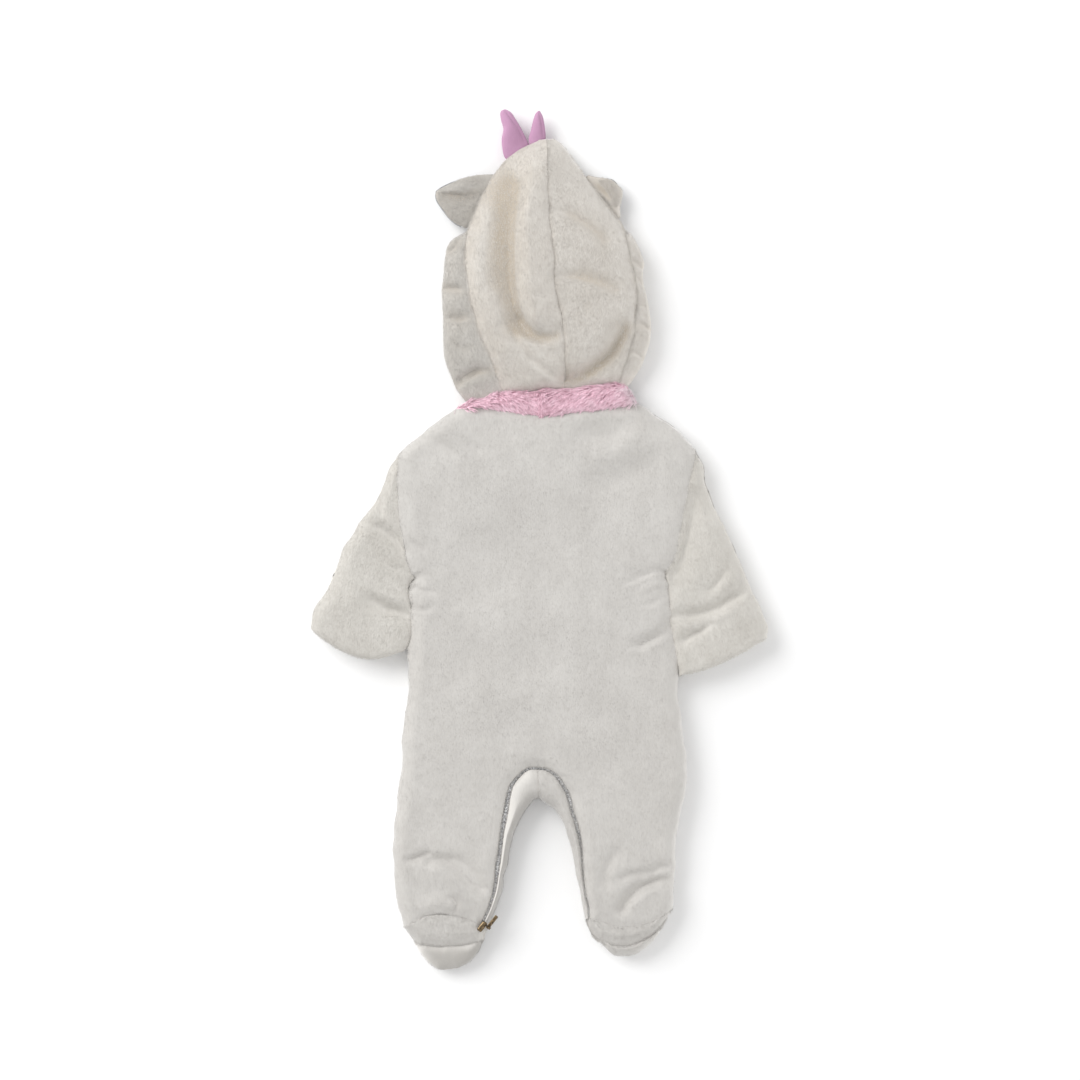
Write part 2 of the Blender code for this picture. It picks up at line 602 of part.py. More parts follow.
def floor_seams(side):
    outline, leg = sides[side], legs[side]
    around = np.concatenate([outline[underarm:], leg["outer"][1:], leg["foot_outer"][1:]])
    inside = np.concatenate([leg["inner"], leg["foot_inner"][1:]])
    return [
        Seam(outline[:shoulder + 1], MID, FLOOR_ROUND),
        Seam(outline[shoulder:underarm + 1], ARMHOLE_FLOOR, FLOOR_ROUND),
        Seam(around, MID, FLOOR_ROUND),
        Seam(inside, MID, FLOOR_ROUND),
    ]


# ---------------------------------------------------------------- the body's panels

def trunk_half(side, middle, shares):
    """Plan of the rows from one side seam to the middle; the neck row follows the neck seam."""
    across = 0.5 * shares if side < 0 else 1 - 0.5 * shares
    plan = parabola(trunk_left, middle, trunk_right, across)
    bend = along(NECK, across[0]) - plan[0]
    fade = np.interp(np.arange(len(plan)), [0, 2 * STEPS], [1, 0])
    return plan + fade[:, None, None] * bend


def row_shares(count, spread, close, rows):
    """Column shares for each row, which change from one set to another over the last rows."""
    mix = np.interp(np.arange(count), [count - 1 - rows, count - 1], [0, 1])[:, None]
    return (1 - mix) * spread + mix * close


def back_half(side):
    leg = legs[side]
    middle = trunk_middle.copy()
    middle[-1] = zip_out[APEX]
    shares = row_shares(len(middle), TRUNK_SHARES, LEG_SHARES, 4 * STEPS)
    upper = trunk_half(side, middle, shares)
    lower = sagging(leg["outer"], leg["back_edge"], leg["sag"], LEG_SHARES)[1:]
    plan = np.concatenate([upper, lower])
    height = np.maximum(body_top(plan), HEM_LEVEL)
    inner = hemmed(plan, ("start", "end", "first"))
    inner[len(middle) - 1:, -1] += hem_step(plan[len(middle) - 1:, -1], plan[len(middle) - 1:, -2])
    return Patch(solid_points(plan, height), solid_points(inner, MID + LAYERS_APART / 2))


def add_back():
    wall("back", [back_half(-1), back_half(1)], PLUSH)


def front_rows(side):
    """Plan of a front panel's floor side, from the neck over the crotch to the toes."""
    leg = legs[side]
    middle = trunk_middle.copy()
    reach = (middle[:, 1] - middle[-1, 1]) / (middle[0, 1] - middle[-1, 1])
    middle[:, 1] = CROTCH[1] + reach * (FRONT_NECK_Y - CROTCH[1])
    middle[-1] = CROTCH
    shares = row_shares(len(middle), TRUNK_SHARES, LEG_SHARES, 4 * STEPS)
    across = 0.5 * shares if side < 0 else 1 - 0.5 * shares
    upper = parabola(trunk_left, middle, trunk_right, across)
    lower = sagging(leg["outer"], leg["inner"], leg["sag"], LEG_SHARES)
    fade = np.interp(np.arange(len(lower)), [0, STRAIGHTEN * STEPS], [1, 0])
    lower = (lower + fade[:, None, None] * (upper[-1] - lower[0]))[1:]
    foot = sagging(leg["foot_outer"], leg["foot_inner"], leg["foot_sag"], LEG_SHARES)[1:]
    plan = np.concatenate([upper, lower, foot])
    plan[:len(middle), -1, 0] += side * GAP / 2
    return plan, len(middle) - 1, len(foot)


def add_front(side):
    """A front panel: its floor side, the strip round the inner leg to the zip, and the toe."""
    leg = legs[side]
    plan, crotch_row, foot_rows = front_rows(side)
    height = np.minimum(padded_height(plan, 0.0, floor_seams(side)), MID - GAP / 2)
    height[crotch_row:, -1] = height[-1] = height[-foot_rows:, 0] = FOLD_LEVEL
    fold_line = plan[crotch_row:-foot_rows, -1]
    edge = leg["front_edge"].copy()
    edge[0, 0] += side * GAP / 2
    across = edge - fold_line
    strip = fold_line[:, None] + across[:, None] * STRIP_SHARES[:, None]
    strip_height = np.maximum(body_top(strip), FOLD_LEVEL)
    strip_height[:, 0] = FOLD_LEVEL
    width = np.linalg.norm(across, axis=1, keepdims=True)
    hem = np.minimum(HEM, STRIP_HEM * width)
    start = fold_line + unit(across) * hem
    strip_inner = start[:, None] + (unit(across) * (width - 2 * hem))[:, None] * STRIP_SHARES[:, None]
    wrap = Patch(solid_points(strip, strip_height), solid_points(strip_inner, MID + LAYERS_APART / 2))

    inner = hemmed(plan, ("start", "end", "first"))
    inner[-foot_rows:, -1] += hem_step(plan[-foot_rows:, -1], plan[-foot_rows:, -2])
    inner[crotch_row:-foot_rows, -1] = start
    under = Patch(solid_points(plan, height), solid_points(inner, MID - LAYERS_APART / 2))

    toe = plan[-foot_rows + STEPS - 1:]
    toe_height = np.maximum(body_top(toe), FOLD_LEVEL)
    toe_height[-1] = toe_height[:, 0] = toe_height[:, -1] = FOLD_LEVEL
    toe_inner = hemmed(toe, ("start", "end", "first", "last"))
    inner_height = np.clip(toe_height - THINNEST, MID - LAYERS_APART / 2 + GAP, MID + LAYERS_APART / 2)
    cap = Patch(solid_points(toe, toe_height), solid_points(toe_inner, inner_height))
    wall("front_" + NAMES[side], [under, wrap, cap], PLUSH)


def add_sole(side):
    """The sole, from the heel seam of the back and the ankle's inner edge to the toe seam."""
    leg = legs[side]
    ankle = leg["inner"][-1:] + unit(leg["foot_inner"][1:2] - leg["inner"][-1:]) * 2 * GAP
    heel = np.concatenate([heel_seam(leg, LEG_SHARES), ankle])
    toe = toe_seam(leg, np.append(TOE_END * LEG_SHARES, 1))
    inward = unit(toe - heel)
    heel[:-1, 1] -= EDGE_GAP
    rows = SOLE_SHARES[:, None, None]
    plan = heel * (1 - rows) + (toe - GAP * inward) * rows
    height = np.maximum(body_top(plan), HEM_LEVEL)
    inner = hemmed(plan, ("start", "end", "first", "last"))
    patch = Patch(solid_points(plan, height), solid_points(inner, MID + LAYERS_APART / 2))
    wall("sole_" + NAMES[side], [patch], PLUSH)


def add_zip():
    """The zip's chain and tape: a low strip that lies in the seam between the back and the fronts."""
    shares = np.array([-1, 0, 1])[:, None]
    plan = zip_line[:, None] + (normals(zip_line) * zip_half)[:, None] * shares
    crown = ZIP_CROWN * (1 - shares[:, 0] ** 2)
    height = body_top(zip_line)[:, None] - ZIP_SUNK + crown
    patch = Patch(solid_points(plan, height), solid_points(plan, height - ZIP_THICK))
    wall("zip_tape", [patch], ZIP_SILVER)


# ---------------------------------------------------------------- sleeves

def add_sleeve(side):
    """A sleeve: one padded tube, folded flat at its two outlines and open at the cuff."""
    rows = smoothed(LEFT_SLEEVE if side < 0 else RIGHT_SLEEVE)
    outer, inner = pairs(rows.outer_x, rows.outer_y), pairs(rows.inner_x, rows.inner_y)
    armhole = sides[side][shoulder:underarm + 1]
    armhole = armhole + side * normals(armhole) * EDGE_GAP
    length = np.concatenate([[0], np.cumsum(np.linalg.norm(np.diff(armhole, axis=0), axis=1))])
    plan = sagging(outer, inner, rows.sag, length / length[-1])
    fade = np.interp(np.arange(len(plan)), [0, 3 * STEPS], [1, 0])
    plan = plan + fade[:, None, None] * (armhole - plan[0])
    outer, inner, cuff = plan[:, 0], plan[:, -1], plan[-1]
    seams = [
        Seam(outer, MID, SIDE_ROUND),
        Seam(inner, MID, SIDE_ROUND),
        Seam(armhole, SEAM_LEVEL, SEAM_ROUND),
        Seam(cuff, SLEEVE_TOP - CUFF_DIP, CUFF_ROUND),
    ]
    height = padded_height(plan, SLEEVE_TOP, seams)
    height += risen(seam_distance(plan, seams), FOLD_REACH) * fold_height(plan)
    floor = padded_height(plan, 0.0, [
        Seam(outer, MID, FLOOR_ROUND),
        Seam(inner, MID, FLOOR_ROUND),
        Seam(armhole, ARMHOLE_FLOOR, SEAM_ROUND),
    ])
    for edge in (height, floor):
        edge[:, 0] = edge[:, -1] = MID
    lining = hemmed(plan, ("first", "last"))
    upper = Patch(solid_points(plan, height), solid_points(lining, MID + LAYERS_APART / 2))
    lower = Patch(solid_points(plan, floor), solid_points(lining, MID - LAYERS_APART / 2))
    wall("sleeve_" + NAMES[side], [upper, lower], PLUSH)


# ---------------------------------------------------------------- hood and collar

hood = smoothed(HOOD)
hood_rows = np.arange(len(hood.top)) / STEPS      # place of every mesh row in the table
hood_middle = pairs(hood.middle_x, hood.middle_y)
hood_seam = {-1: pairs(hood.left_x, hood.left_y), 1: pairs(hood.right_x, hood.right_y)}
hood_outline = {
    -1: pairs(hood.outline_left_x, hood.outline_left_y),
    1: pairs(hood.outline_right_x, hood.outline_right_y),
}
hood_level = {-1: hood.left_level, 1: hood.right_level}


def hood_seams(side):
    seam, level = hood_seam[side], hood_level[side]
    return [
        Seam(seam, level, HOOD_ROUND),
        Seam(np.stack([seam[0], hood_middle[0]]), level[0], SEAM_ROUND),
        Seam(np.stack([seam[-1], hood_middle[-1]]), level[-1], SIDE_ROUND),
        Seam(hood_middle, hood.top - CENTRE_DIP, CENTRE_ROUND),
    ]


def add_hood_back(side):
    """One of the two back panels of the hood, from its outer seam to the centre seam."""
    inward = unit(hood_middle - hood_seam[side])
    edge = hood_seam[side] + inward * GAP
    centre = hood_middle - inward * GAP / 2
    plan = edge[:, None] + (centre - edge)[:, None] * HOOD_SHARES[:, None]
    seams = hood_seams(side)
    height = padded_height(plan, hood.top[:, None], seams)
    faded = risen(seam_distance(plan, seams[:3]), FOLD_REACH)
    height += faded * fold_height(plan)
    start = edge + inward * HOOD_INSET
    inner = start[:, None] + (centre - start)[:, None] * HOOD_SHARES[:, None]
    inner = hemmed(inner, ("start", "end"))
    under = hood_level[side] + np.interp(hood_rows, [SIDE_END_ROW, SIDE_END_ROW + 1], [-HOOD_WALL, HEM_RISE])
    inner_height = np.maximum(height - HOOD_WALL, under[:, None])
    patch = Patch(solid_points(plan, height), solid_points(inner, inner_height))
    wall("hood_back_" + NAMES[side], [patch], HOOD_PLUSH)


def add_hood_side(side):
    """A side panel: from the back panel's seam round the outline and under to the face opening."""
    rows = slice(0, -STEPS)
    place = hood_rows[rows]
    tucked = [SIDE_END_ROW + 0.5, SIDE_END_ROW + 1]
    inward = unit(hood_middle - hood_seam[side])[rows]
    outline = hood_outline[side][rows] + inward * np.interp(place, tucked, [0, FLAP_INSET])[:, None]
    seam = hood_seam[side][rows] + inward * np.interp(place, tucked, [0, 3 * FLAP_INSET])[:, None]
    lowered = np.interp(place, [SIDE_END_ROW] + tucked, [hood.top.max(), TUCK_LEVEL, FLAP_LEVEL])
    level = np.minimum(hood_level[side][rows], lowered)
    thick = np.interp(place, [SIDE_END_ROW, SIDE_END_ROW + 1], [HOOD_WALL, FLAP_WALL])
    middle = hood_middle[rows] - outline
    reach = np.minimum(FACE_REACH, np.linalg.norm(middle, axis=1) - GAP / 2)
    bend = np.minimum(SIDE_BEND, BEND_SHARE * level)
    turn = np.radians(np.linspace(0, 90, 5))
    over = seam - outline
    width = np.linalg.norm(over, axis=1)
    column = [value[:, None] for value in (level, bend, thick, reach, width)]
    level, bend, thick, reach, width = column

    def section(share_over, height_over, start, height_under, floor):
        """Points of every row: the arch over the outline, the bend under it and the floor strip."""
        arch = outline[:, None] + over[:, None] * share_over[..., None]
        base = outline[:, None] + unit(middle)[:, None] * start[..., None]
        flat = outline[:, None] + unit(middle)[:, None] * floor[..., None]
        return np.concatenate([
            solid_points(arch, height_over),
            solid_points(base, height_under),
            solid_points(flat, floor * 0 + height_under[:, -1:]),
        ], axis=1)

    down, back = turn[:-1], turn
    floor_shares = np.array([0.5, 1])
    folds = fold_height(outline[:, None] + over[:, None] * (1 - np.sin(down))[:, None])
    outer = section(
        1 - np.sin(down) + 0 * level,
        bend + (level - bend) * np.cos(down) + folds * np.sin(2 * down),
        bend * (1 - np.cos(back)),
        bend * (1 - np.sin(back)),
        bend + (reach - bend) * floor_shares,
    )
    inner = section(
        1 - np.sin(down) * (1 - thick / width),
        bend + (level - thick - bend) * np.cos(down),
        thick + np.maximum(bend - thick, 0.5) * (1 - np.cos(back)),
        thick + np.maximum(bend - thick, 0) * (1 - np.sin(back)),
        bend + 0.5 + (reach - bend - 0.5) * floor_shares,
    )
    wall("hood_side_" + NAMES[side], [Patch(outer, inner)], HOOD_PLUSH)


def add_collar():
    """The pink band between the body's neck seam and the lower edge of the hood."""
    along_neck = np.linspace(0, 1, COLLAR_COLUMNS)
    lower = along(NECK, along_neck) + np.array([0, GAP])
    corners = [hood_outline[-1][0], hood_seam[-1][0], hood_middle[0], hood_seam[1][0], hood_outline[1][0]]
    upper = along(np.array(corners), along_neck) - np.array([0, COLLAR_GAP])
    plan = lower + (upper - lower) * COLLAR_SHARES[:, None, None]
    ends = [Seam(plan[:, k], HEM_LEVEL, SEAM_ROUND) for k in (0, -1)]
    seams = ends + [Seam(lower, SEAM_LEVEL, COLLAR_ROUND), Seam(upper, hood.left_level[0], COLLAR_ROUND)]
    height = padded_height(plan, COLLAR_TOP, seams)
    inner = hemmed(plan, ("start", "end", "first", "last"))
    patch = Patch(solid_points(plan, height), solid_points(inner, MID + LAYERS_APART / 2))
    wall("collar", [patch], PINK_PILE)


# ---------------------------------------------------------------- ears and crest

def leaf_patch(table):
    """Upper and lower points of a stuffed leaf between its two edges."""
    rows = smoothed(table, 1)
    first, second = pairs(rows.first_x, rows.first_y), pairs(rows.second_x, rows.second_y)
    plan = first[:, None] + (second - first)[:, None] * LEAF_SHARES[:, None]
    swell = np.maximum(np.sqrt(1 - (2 * LEAF_SHARES - 1) ** 2), LEAF_EDGE)
    half = rows.half[:, None] * swell
    level = rows.level[:, None]
    return Patch(solid_points(plan, level + half), solid_points(plan, level - half))


def add_leaf(name, table, look):
    wall(name, [leaf_patch(table)], look)


def add_ear_lining(name, table):
    """The cloth on an ear's front side: the ear's lower points, moved down and out to its rim."""
    lower = leaf_patch(table).inner[2:]
    middle = lower.mean(axis=1, keepdims=True)
    at_edge = (np.abs(2 * LEAF_SHARES - 1) == 1) * LINING_SHOWS
    spread = unit((lower - middle)[..., :2]) * at_edge[:, None]
    drop = np.broadcast_to(-2 * GAP - at_edge, spread.shape[:-1])[..., None]
    outer = lower + np.concatenate([spread, drop], axis=-1)
    wall(name, [Patch(outer, outer - np.array([0, 0, LINING_THICK]))], SILVER_CLOTH)


# ---------------------------------------------------------------- slider and pull tab

along_slider = np.array([np.cos(np.radians(SLIDER_ANGLE)), np.sin(np.radians(SLIDER_ANGLE))])
out_of_slider = np.array([along_slider[1], -along_slider[0]])


def slider_level():
    """Height of the slider's underside: just above the highest cloth under it."""
    reach = np.linspace(-0.5, 0.5, 7)
    forward = reach[:, None, None] * SLIDER_SIZE[0] * along_slider
    outward = reach[:, None] * SLIDER_SIZE[1] * out_of_slider
    return body_top(SLIDER_AT + forward + outward).max() + SLIDER_FLOAT


def place(piece, forward, side, height):
    """Put a piece at a place in the slider's own frame, turned with the slider."""
    spot = SLIDER_AT + forward * along_slider + side * out_of_slider
    piece.location = (spot[0] * MM, spot[1] * MM, height * MM)
    piece.rotation_euler.z = np.radians(SLIDER_ANGLE)


def box(name, size, bevel, collection):
    bpy.ops.mesh.primitive_cube_add(size=1)
    piece = bpy.context.object
    piece.name = piece.data.name = name
    piece.data.transform(Matrix.Diagonal((*[side * MM for side in size], 1)))
    rounding = piece.modifiers.new("rounding", "BEVEL")
    rounding.width = bevel * MM
    rounding.segments = 2
    return keep_in(piece, collection)


def rod(name, radius, length, collection, sides=20):
    """A cylinder that lies across the slider."""
    bpy.ops.mesh.primitive_cylinder_add(vertices=sides, radius=radius * MM, depth=length * MM)
    piece = bpy.context.object
    piece.name = piece.data.name = name
    piece.data.transform(Matrix.Rotation(np.pi / 2, 4, "X"))
    return keep_in(piece, collection)


def keep_in(piece, collection):
    for other in piece.users_collection:
        other.objects.unlink(piece)
    collection.objects.link(piece)
    return piece


def combine(piece, tool, operation):
    step = piece.modifiers.new(tool.name, "BOOLEAN")
    step.operation = operation
    step.object = tool
    tool.hide_render = True
    tool.display_type = "WIRE"


def add_slider_and_tab():
    base = slider_level()
    pin_height = base + SLIDER_SIZE[2] + PIN_RISE
    slider = box("zip_slider", SLIDER_SIZE, SLIDER_BEVEL, suit)
    place(slider, 0, 0, base + SLIDER_SIZE[2] / 2)
    pin = rod("pin", PIN_RADIUS, PIN_END - PIN_INSIDE, cutters)
    place(pin, PIN_ALONG, (PIN_END + PIN_INSIDE) / 2, pin_height)
    head = rod("pin_head", PIN_HEAD, PIN_HEAD_LENGTH, cutters)
    place(head, PIN_ALONG, PIN_END, pin_height)
    combine(slider, pin, "UNION")
    combine(slider, head, "UNION")
    tab = box("zip_pull", TAB_SIZE, TAB_BEVEL, suit)
    tab.data.transform(Matrix.Translation(((TAB_SIZE[0] / 2 + TAB_START) * MM, 0, 0)))
    place(tab, PIN_ALONG, KNUCKLE_SIDE, pin_height)
    knuckle = rod("knuckle", KNUCKLE_RADIUS, KNUCKLE_LENGTH, cutters)
    place(knuckle, PIN_ALONG, KNUCKLE_SIDE, pin_height)
    bore = rod("bore", KNUCKLE_BORE, 3 * KNUCKLE_LENGTH, cutters)
    place(bore, PIN_ALONG, KNUCKLE_SIDE, pin_height)
    combine(tab, knuckle, "UNION")
    combine(tab, bore, "DIFFERENCE")
    for piece in (slider, tab):
        piece.data.materials.append(make_material(piece.name, BRONZE))


suit = bpy.data.collections.new("sleepsuit")
cutters = bpy.data.collections.new("cutters")


def main():
    for old in list(bpy.data.objects):
        bpy.data.objects.remove(old)
    for collection in (suit, cutters):
        bpy.context.scene.collection.children.link(collection)
    add_back()
    for side in (-1, 1):
        add_front(side)
        add_sole(side)
        add_sleeve(side)
        add_hood_back(side)
        add_hood_side(side)
    add_collar()
    add_zip()
    for name, table, look in (
        ("ear_left", EAR_LEFT, PLUSH),
        ("ear_right", EAR_RIGHT, PLUSH),
        ("crest_left", CREST_LEFT, PINK_VELVET),
        ("crest_right", CREST_RIGHT, PINK_VELVET),
    ):
        add_leaf(name, table, look)
    add_ear_lining("ear_lining_left", EAR_LEFT)
    add_ear_lining("ear_lining_right", EAR_RIGHT)
    add_slider_and_tab()


main()
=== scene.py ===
# %% [markdown]
# # A hooded sleepsuit, laid face down
# This lesson dresses a plain solid model of a baby's padded sleepsuit. The solids are loaded as a
# fixed frame, and every piece of cloth is made again over them as a finer surface, with its pile, its
# folds and its seams. The suit lies on its front, so what the camera sees is its back.

# %% Load the frame
from collections import namedtuple

import bmesh
import bpy
import numpy as np
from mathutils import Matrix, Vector


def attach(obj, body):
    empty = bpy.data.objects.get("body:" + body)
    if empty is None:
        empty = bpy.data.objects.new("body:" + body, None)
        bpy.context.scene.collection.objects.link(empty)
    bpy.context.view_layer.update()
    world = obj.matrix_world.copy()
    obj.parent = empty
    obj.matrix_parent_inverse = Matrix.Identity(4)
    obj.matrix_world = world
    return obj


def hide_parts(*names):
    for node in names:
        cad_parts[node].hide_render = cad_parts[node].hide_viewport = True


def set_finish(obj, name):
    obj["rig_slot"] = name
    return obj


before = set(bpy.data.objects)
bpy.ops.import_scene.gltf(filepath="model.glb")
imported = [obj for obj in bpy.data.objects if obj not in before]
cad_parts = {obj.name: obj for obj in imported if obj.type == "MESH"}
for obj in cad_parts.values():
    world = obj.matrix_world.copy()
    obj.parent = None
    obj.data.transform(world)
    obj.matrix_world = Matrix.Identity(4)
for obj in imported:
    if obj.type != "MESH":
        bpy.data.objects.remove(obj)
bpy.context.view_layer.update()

MM = 0.001
ROOT = "suit"           # the body that all the cloth rides on
SIDES = (-1, 1)         # left and right, as seen from above
NAMES = {-1: "left", 1: "right"}

# %% [markdown]
# ## How the suit was measured
# A maker starts from a pattern: flat outlines of every panel. Here each outline is a short table of
# rows, and a smooth curve runs through the rows, so the same table gives a coarse or a fine mesh.
# Everything is in millimetres until a mesh is made. +Y points to the head and +Z up.

# %% Heights and widths that shape the padding
GAP = 0.08              # between neighbouring pieces: a sewn seam hardly opens
LAYERS_APART = 1.6      # between the inner faces of the front and the back
HEM = 2.0               # how far an inner face ends before the outer one
STEPS = 12              # mesh rows for each row of a table

# Heights of tops, seams and folds
LEVEL_Y = np.array([-410, -392, -372, -345, 95, 125])
LEVEL_Z = np.array([19, 23, 27, 29, 29, 27])    # the body's top at those places
MID = 14.0              # the side seams, halfway up the padded body
HEM_LEVEL = MID + GAP / 2       # the lowest edge of a panel above them
FOLD_LEVEL = 13.0       # where the front turns up to the zip and round the toes
SEAM_LEVEL = 23.0       # the neck seam
ARMHOLE_LEVEL = 25.2    # the armhole, on top
ARMHOLE_FLOOR = 2.0     # and on the floor side
HEEL_LEVEL = 25.6
TOE_LEVEL = 21.0
ZIP_LEVEL = 22.0
SLEEVE_TOP = 27.0
SLEEVE_INNER = 20.0     # the sleeves' edge beside the body
CUFF_DIP = 4.0          # how much lower the cuff's edge is
COLLAR_TOP = 27.0
CENTRE_DIP = 2.0        # depth of the hood's centre seam

# Widths over which the padding rounds down
SIDE_ROUND = 14.0       # from the top to a side seam
FLOOR_ROUND = 7.0       # from the floor up to a side seam
SEAM_ROUND = 12.0       # to a sewn seam
ARMHOLE_ROUND = 16.0
SLEEVE_ROUND = 13.0     # to the sleeve's edge beside the body
CUFF_ROUND = 7.0
COLLAR_ROUND = 9.0
CENTRE_ROUND = 7.0
HOOD_ROUND = 46.0
FOLD_REACH = 10.0       # folds fade out this close to a seam
CREASE_REACH = 3.0      # and sharp creases this close

# Walls of the hood and its side flaps
HOOD_WALL = 6.5
HOOD_INSET = 5.0        # from the outer seam to the inner face
HEM_RISE = 0.5          # the inner face's least height above the seam near the peak
SIDE_BEND = 12.0        # radius of the round turn under the outline
BEND_SHARE = 0.55       # or this share of the panel's height
FACE_REACH = 44.0       # width of the strip on the floor
FLAP_WALL = 3.6
FLAP_LEVEL = 7.9        # height of the flap that runs under the hood's top
FLAP_INSET = 2.5
TUCK_LEVEL = 13.0       # height at which it goes under

# Small shares and steps
ZIP_SHOWN = 0.76        # share of the tape's width that the plush leaves open
TUCKED = 7.0            # how far the cuff's inner corner lies under the body
TOE_END = 0.94          # share of the toe seam that the sole takes before its last point
EDGE_GAP = 0.08         # from the armhole and the heel seam
COLLAR_GAP = 0.1
print("the padded body is", LEVEL_Z.max(), "mm thick, its side seams lie at", MID, "mm")

# %% Outlines of the trunk, the legs and the feet
TRUNK_COLUMNS = "left_x left_y middle_x middle_y right_x right_y"
LEG_COLUMNS = "outer_x outer_y zip_x zip_y inner_x inner_y zip_half sag"
EDGE_COLUMNS = "outer_x outer_y inner_x inner_y sag"
HOOD_COLUMNS = (
    "left_x left_y middle_x middle_y right_x right_y outline_left_x outline_left_y"
    " outline_right_x outline_right_y left_level right_level top"
)
LEAF_COLUMNS = "first_x first_y second_x second_y level half"


def table(names, *rows):
    """Rows of numbers with named columns."""
    row_type = namedtuple("Row", names)
    return [row_type(*row) for row in rows]


TRUNK = table(
    TRUNK_COLUMNS,
    (-81, 124, 6, 117, 93, 130),
    (-105, 106, 6, 107, 118, 114),
    (-121, 95, 6, 98, 136, 101),
    (-132, 84, 6, 89, 147, 87),
    (-134.5, 73, 6, 79, 146, 74),
    (-135, 55, 6, 62, 142, 57),
    (-135, 30, 5, 37, 137, 31),
    (-131, 4, 5, 10, 132, 4),
    (-127, -18, 4, -14, 127, -17),
    (-122, -30, 4, -29, 121, -28),
    (-119, -37, 4, -38, 119, -34),
    (-122.5, -49, 3, -51, 121, -48),
    (-121, -66, 3, -68, 123, -65),
    (-122, -87, 2, -89, 126, -88),
    (-124, -119, 1, -120, 131, -120),
    (-125, -147, 0, -149, 131, -147),
    (-130, -183, -1, -183, 136, -184),
    (-131, -213, -2, -213, 139, -213),
)
SHOULDER_ROW = 3        # row of the table that starts at the shoulder points
UNDERARM_ROW = 10       # row of the table that starts at the underarms
NECK = np.array([
    (-81, 124), (-61, 126), (-42, 124.5), (-20, 121), (5, 118.5), (30, 121.5), (66, 127), (93, 130),
])
FRONT_NECK_Y = 134.0    # the front reaches this far up, under the collar
CROTCH = np.array([0, -246])

# Rows of a leg run from its outline over the zip to the inner leg; sag moves a row's middle along Y
LEFT_LEG = table(
    LEG_COLUMNS,
    (-131, -213, -2, -217, 0, -246, 1.5, 0),
    (-132, -223, -12, -218, -5, -248, 1.7, 0),
    (-134, -236, -23, -227.5, -13, -257, 2.2, 0),
    (-136, -253, -30, -241, -19, -268, 2.9, 0),
    (-138.5, -272, -34, -263, -24.5, -281, 3.3, 0),
    (-139.5, -293, -38, -289, -29, -298, 3.3, 0),
    (-138.5, -312, -40.5, -311, -33, -316, 3.0, 0),
    (-137.5, -331, -43.5, -330, -36.5, -333, 2.5, 0),
    (-135, -348, -47.5, -347, -41.5, -349, 2.0, 2),
    (-130, -367, -56, -366, -49.5, -368, 1.7, 11),
)
RIGHT_LEG = table(
    LEG_COLUMNS,
    (139, -213, -2, -217, 0, -246, 1.5, 0),
    (139.5, -221, 7, -218, 5, -250, 1.8, 0),
    (138.5, -233, 16.5, -225, 12, -256, 2.3, 0),
    (136.5, -248, 25, -240, 19, -266, 2.8, 0),
    (133, -266, 31.5, -260, 25.5, -278, 2.9, 0),
    (129.5, -287, 36.5, -281, 30, -294, 2.3, 0),
    (128, -306, 39.5, -300, 34, -312, 1.2, 0),
    (128, -323, 41, -320, 37, -330, 0.9, 0),
    (127.5, -339, 43.5, -341, 40, -347, 0.8, -4),
    (126, -351, 47, -359, 43.5, -362, 0.8, -11),
)

# Rows of a foot, from the heel seam to the tip of the toes
LEFT_FOOT = table(
    EDGE_COLUMNS,
    (-119, -382, -54, -380, -4),
    (-113, -394, -58.5, -392, -3),
    (-105.5, -403, -67, -401.5, -3),
    (-97, -408.5, -79, -408.5, -1),
)
RIGHT_FOOT = table(
    EDGE_COLUMNS,
    (121, -360, 49.5, -375, -17),
    (114, -372, 56, -383, -9),
    (103.5, -385.5, 63, -389.5, -4),
    (91, -394.5, 71.5, -396, -1),
)


# %% Outlines of the sleeves
LEFT_SLEEVE = table(
    EDGE_COLUMNS,
    (-132.5, 84, -119.5, -37, 0),
    (-144.5, 64, -124.5, -44, 0),
    (-154, 39.5, -124.5, -55, 0),
    (-172, 16, -123.5, -65, 0),
    (-185.5, -7, -123.5, -75, 0),
    (-196, -31, -124, -84, -1),
    (-206, -52.5, -125, -92, -4),
    (-216, -69, -127, -100, -10),
    (-218, -83, -131, -105, -17),
)
RIGHT_SLEEVE = table(
    EDGE_COLUMNS,
    (147.5, 87, 119.5, -34, 0),
    (155, 71, 122.5, -42, 0),
    (157.5, 53, 124, -53, 0),
    (165, 31.5, 125, -64, 0),
    (175.5, 12, 126.5, -74, 0),
    (186, -11, 128.5, -86, -1),
    (197.5, -39, 131, -98, -2),
    (208.5, -61, 134, -109, -3),
    (216.5, -81, 136.5, -119, -4),
    (216, -92, 138, -129, -5),
)

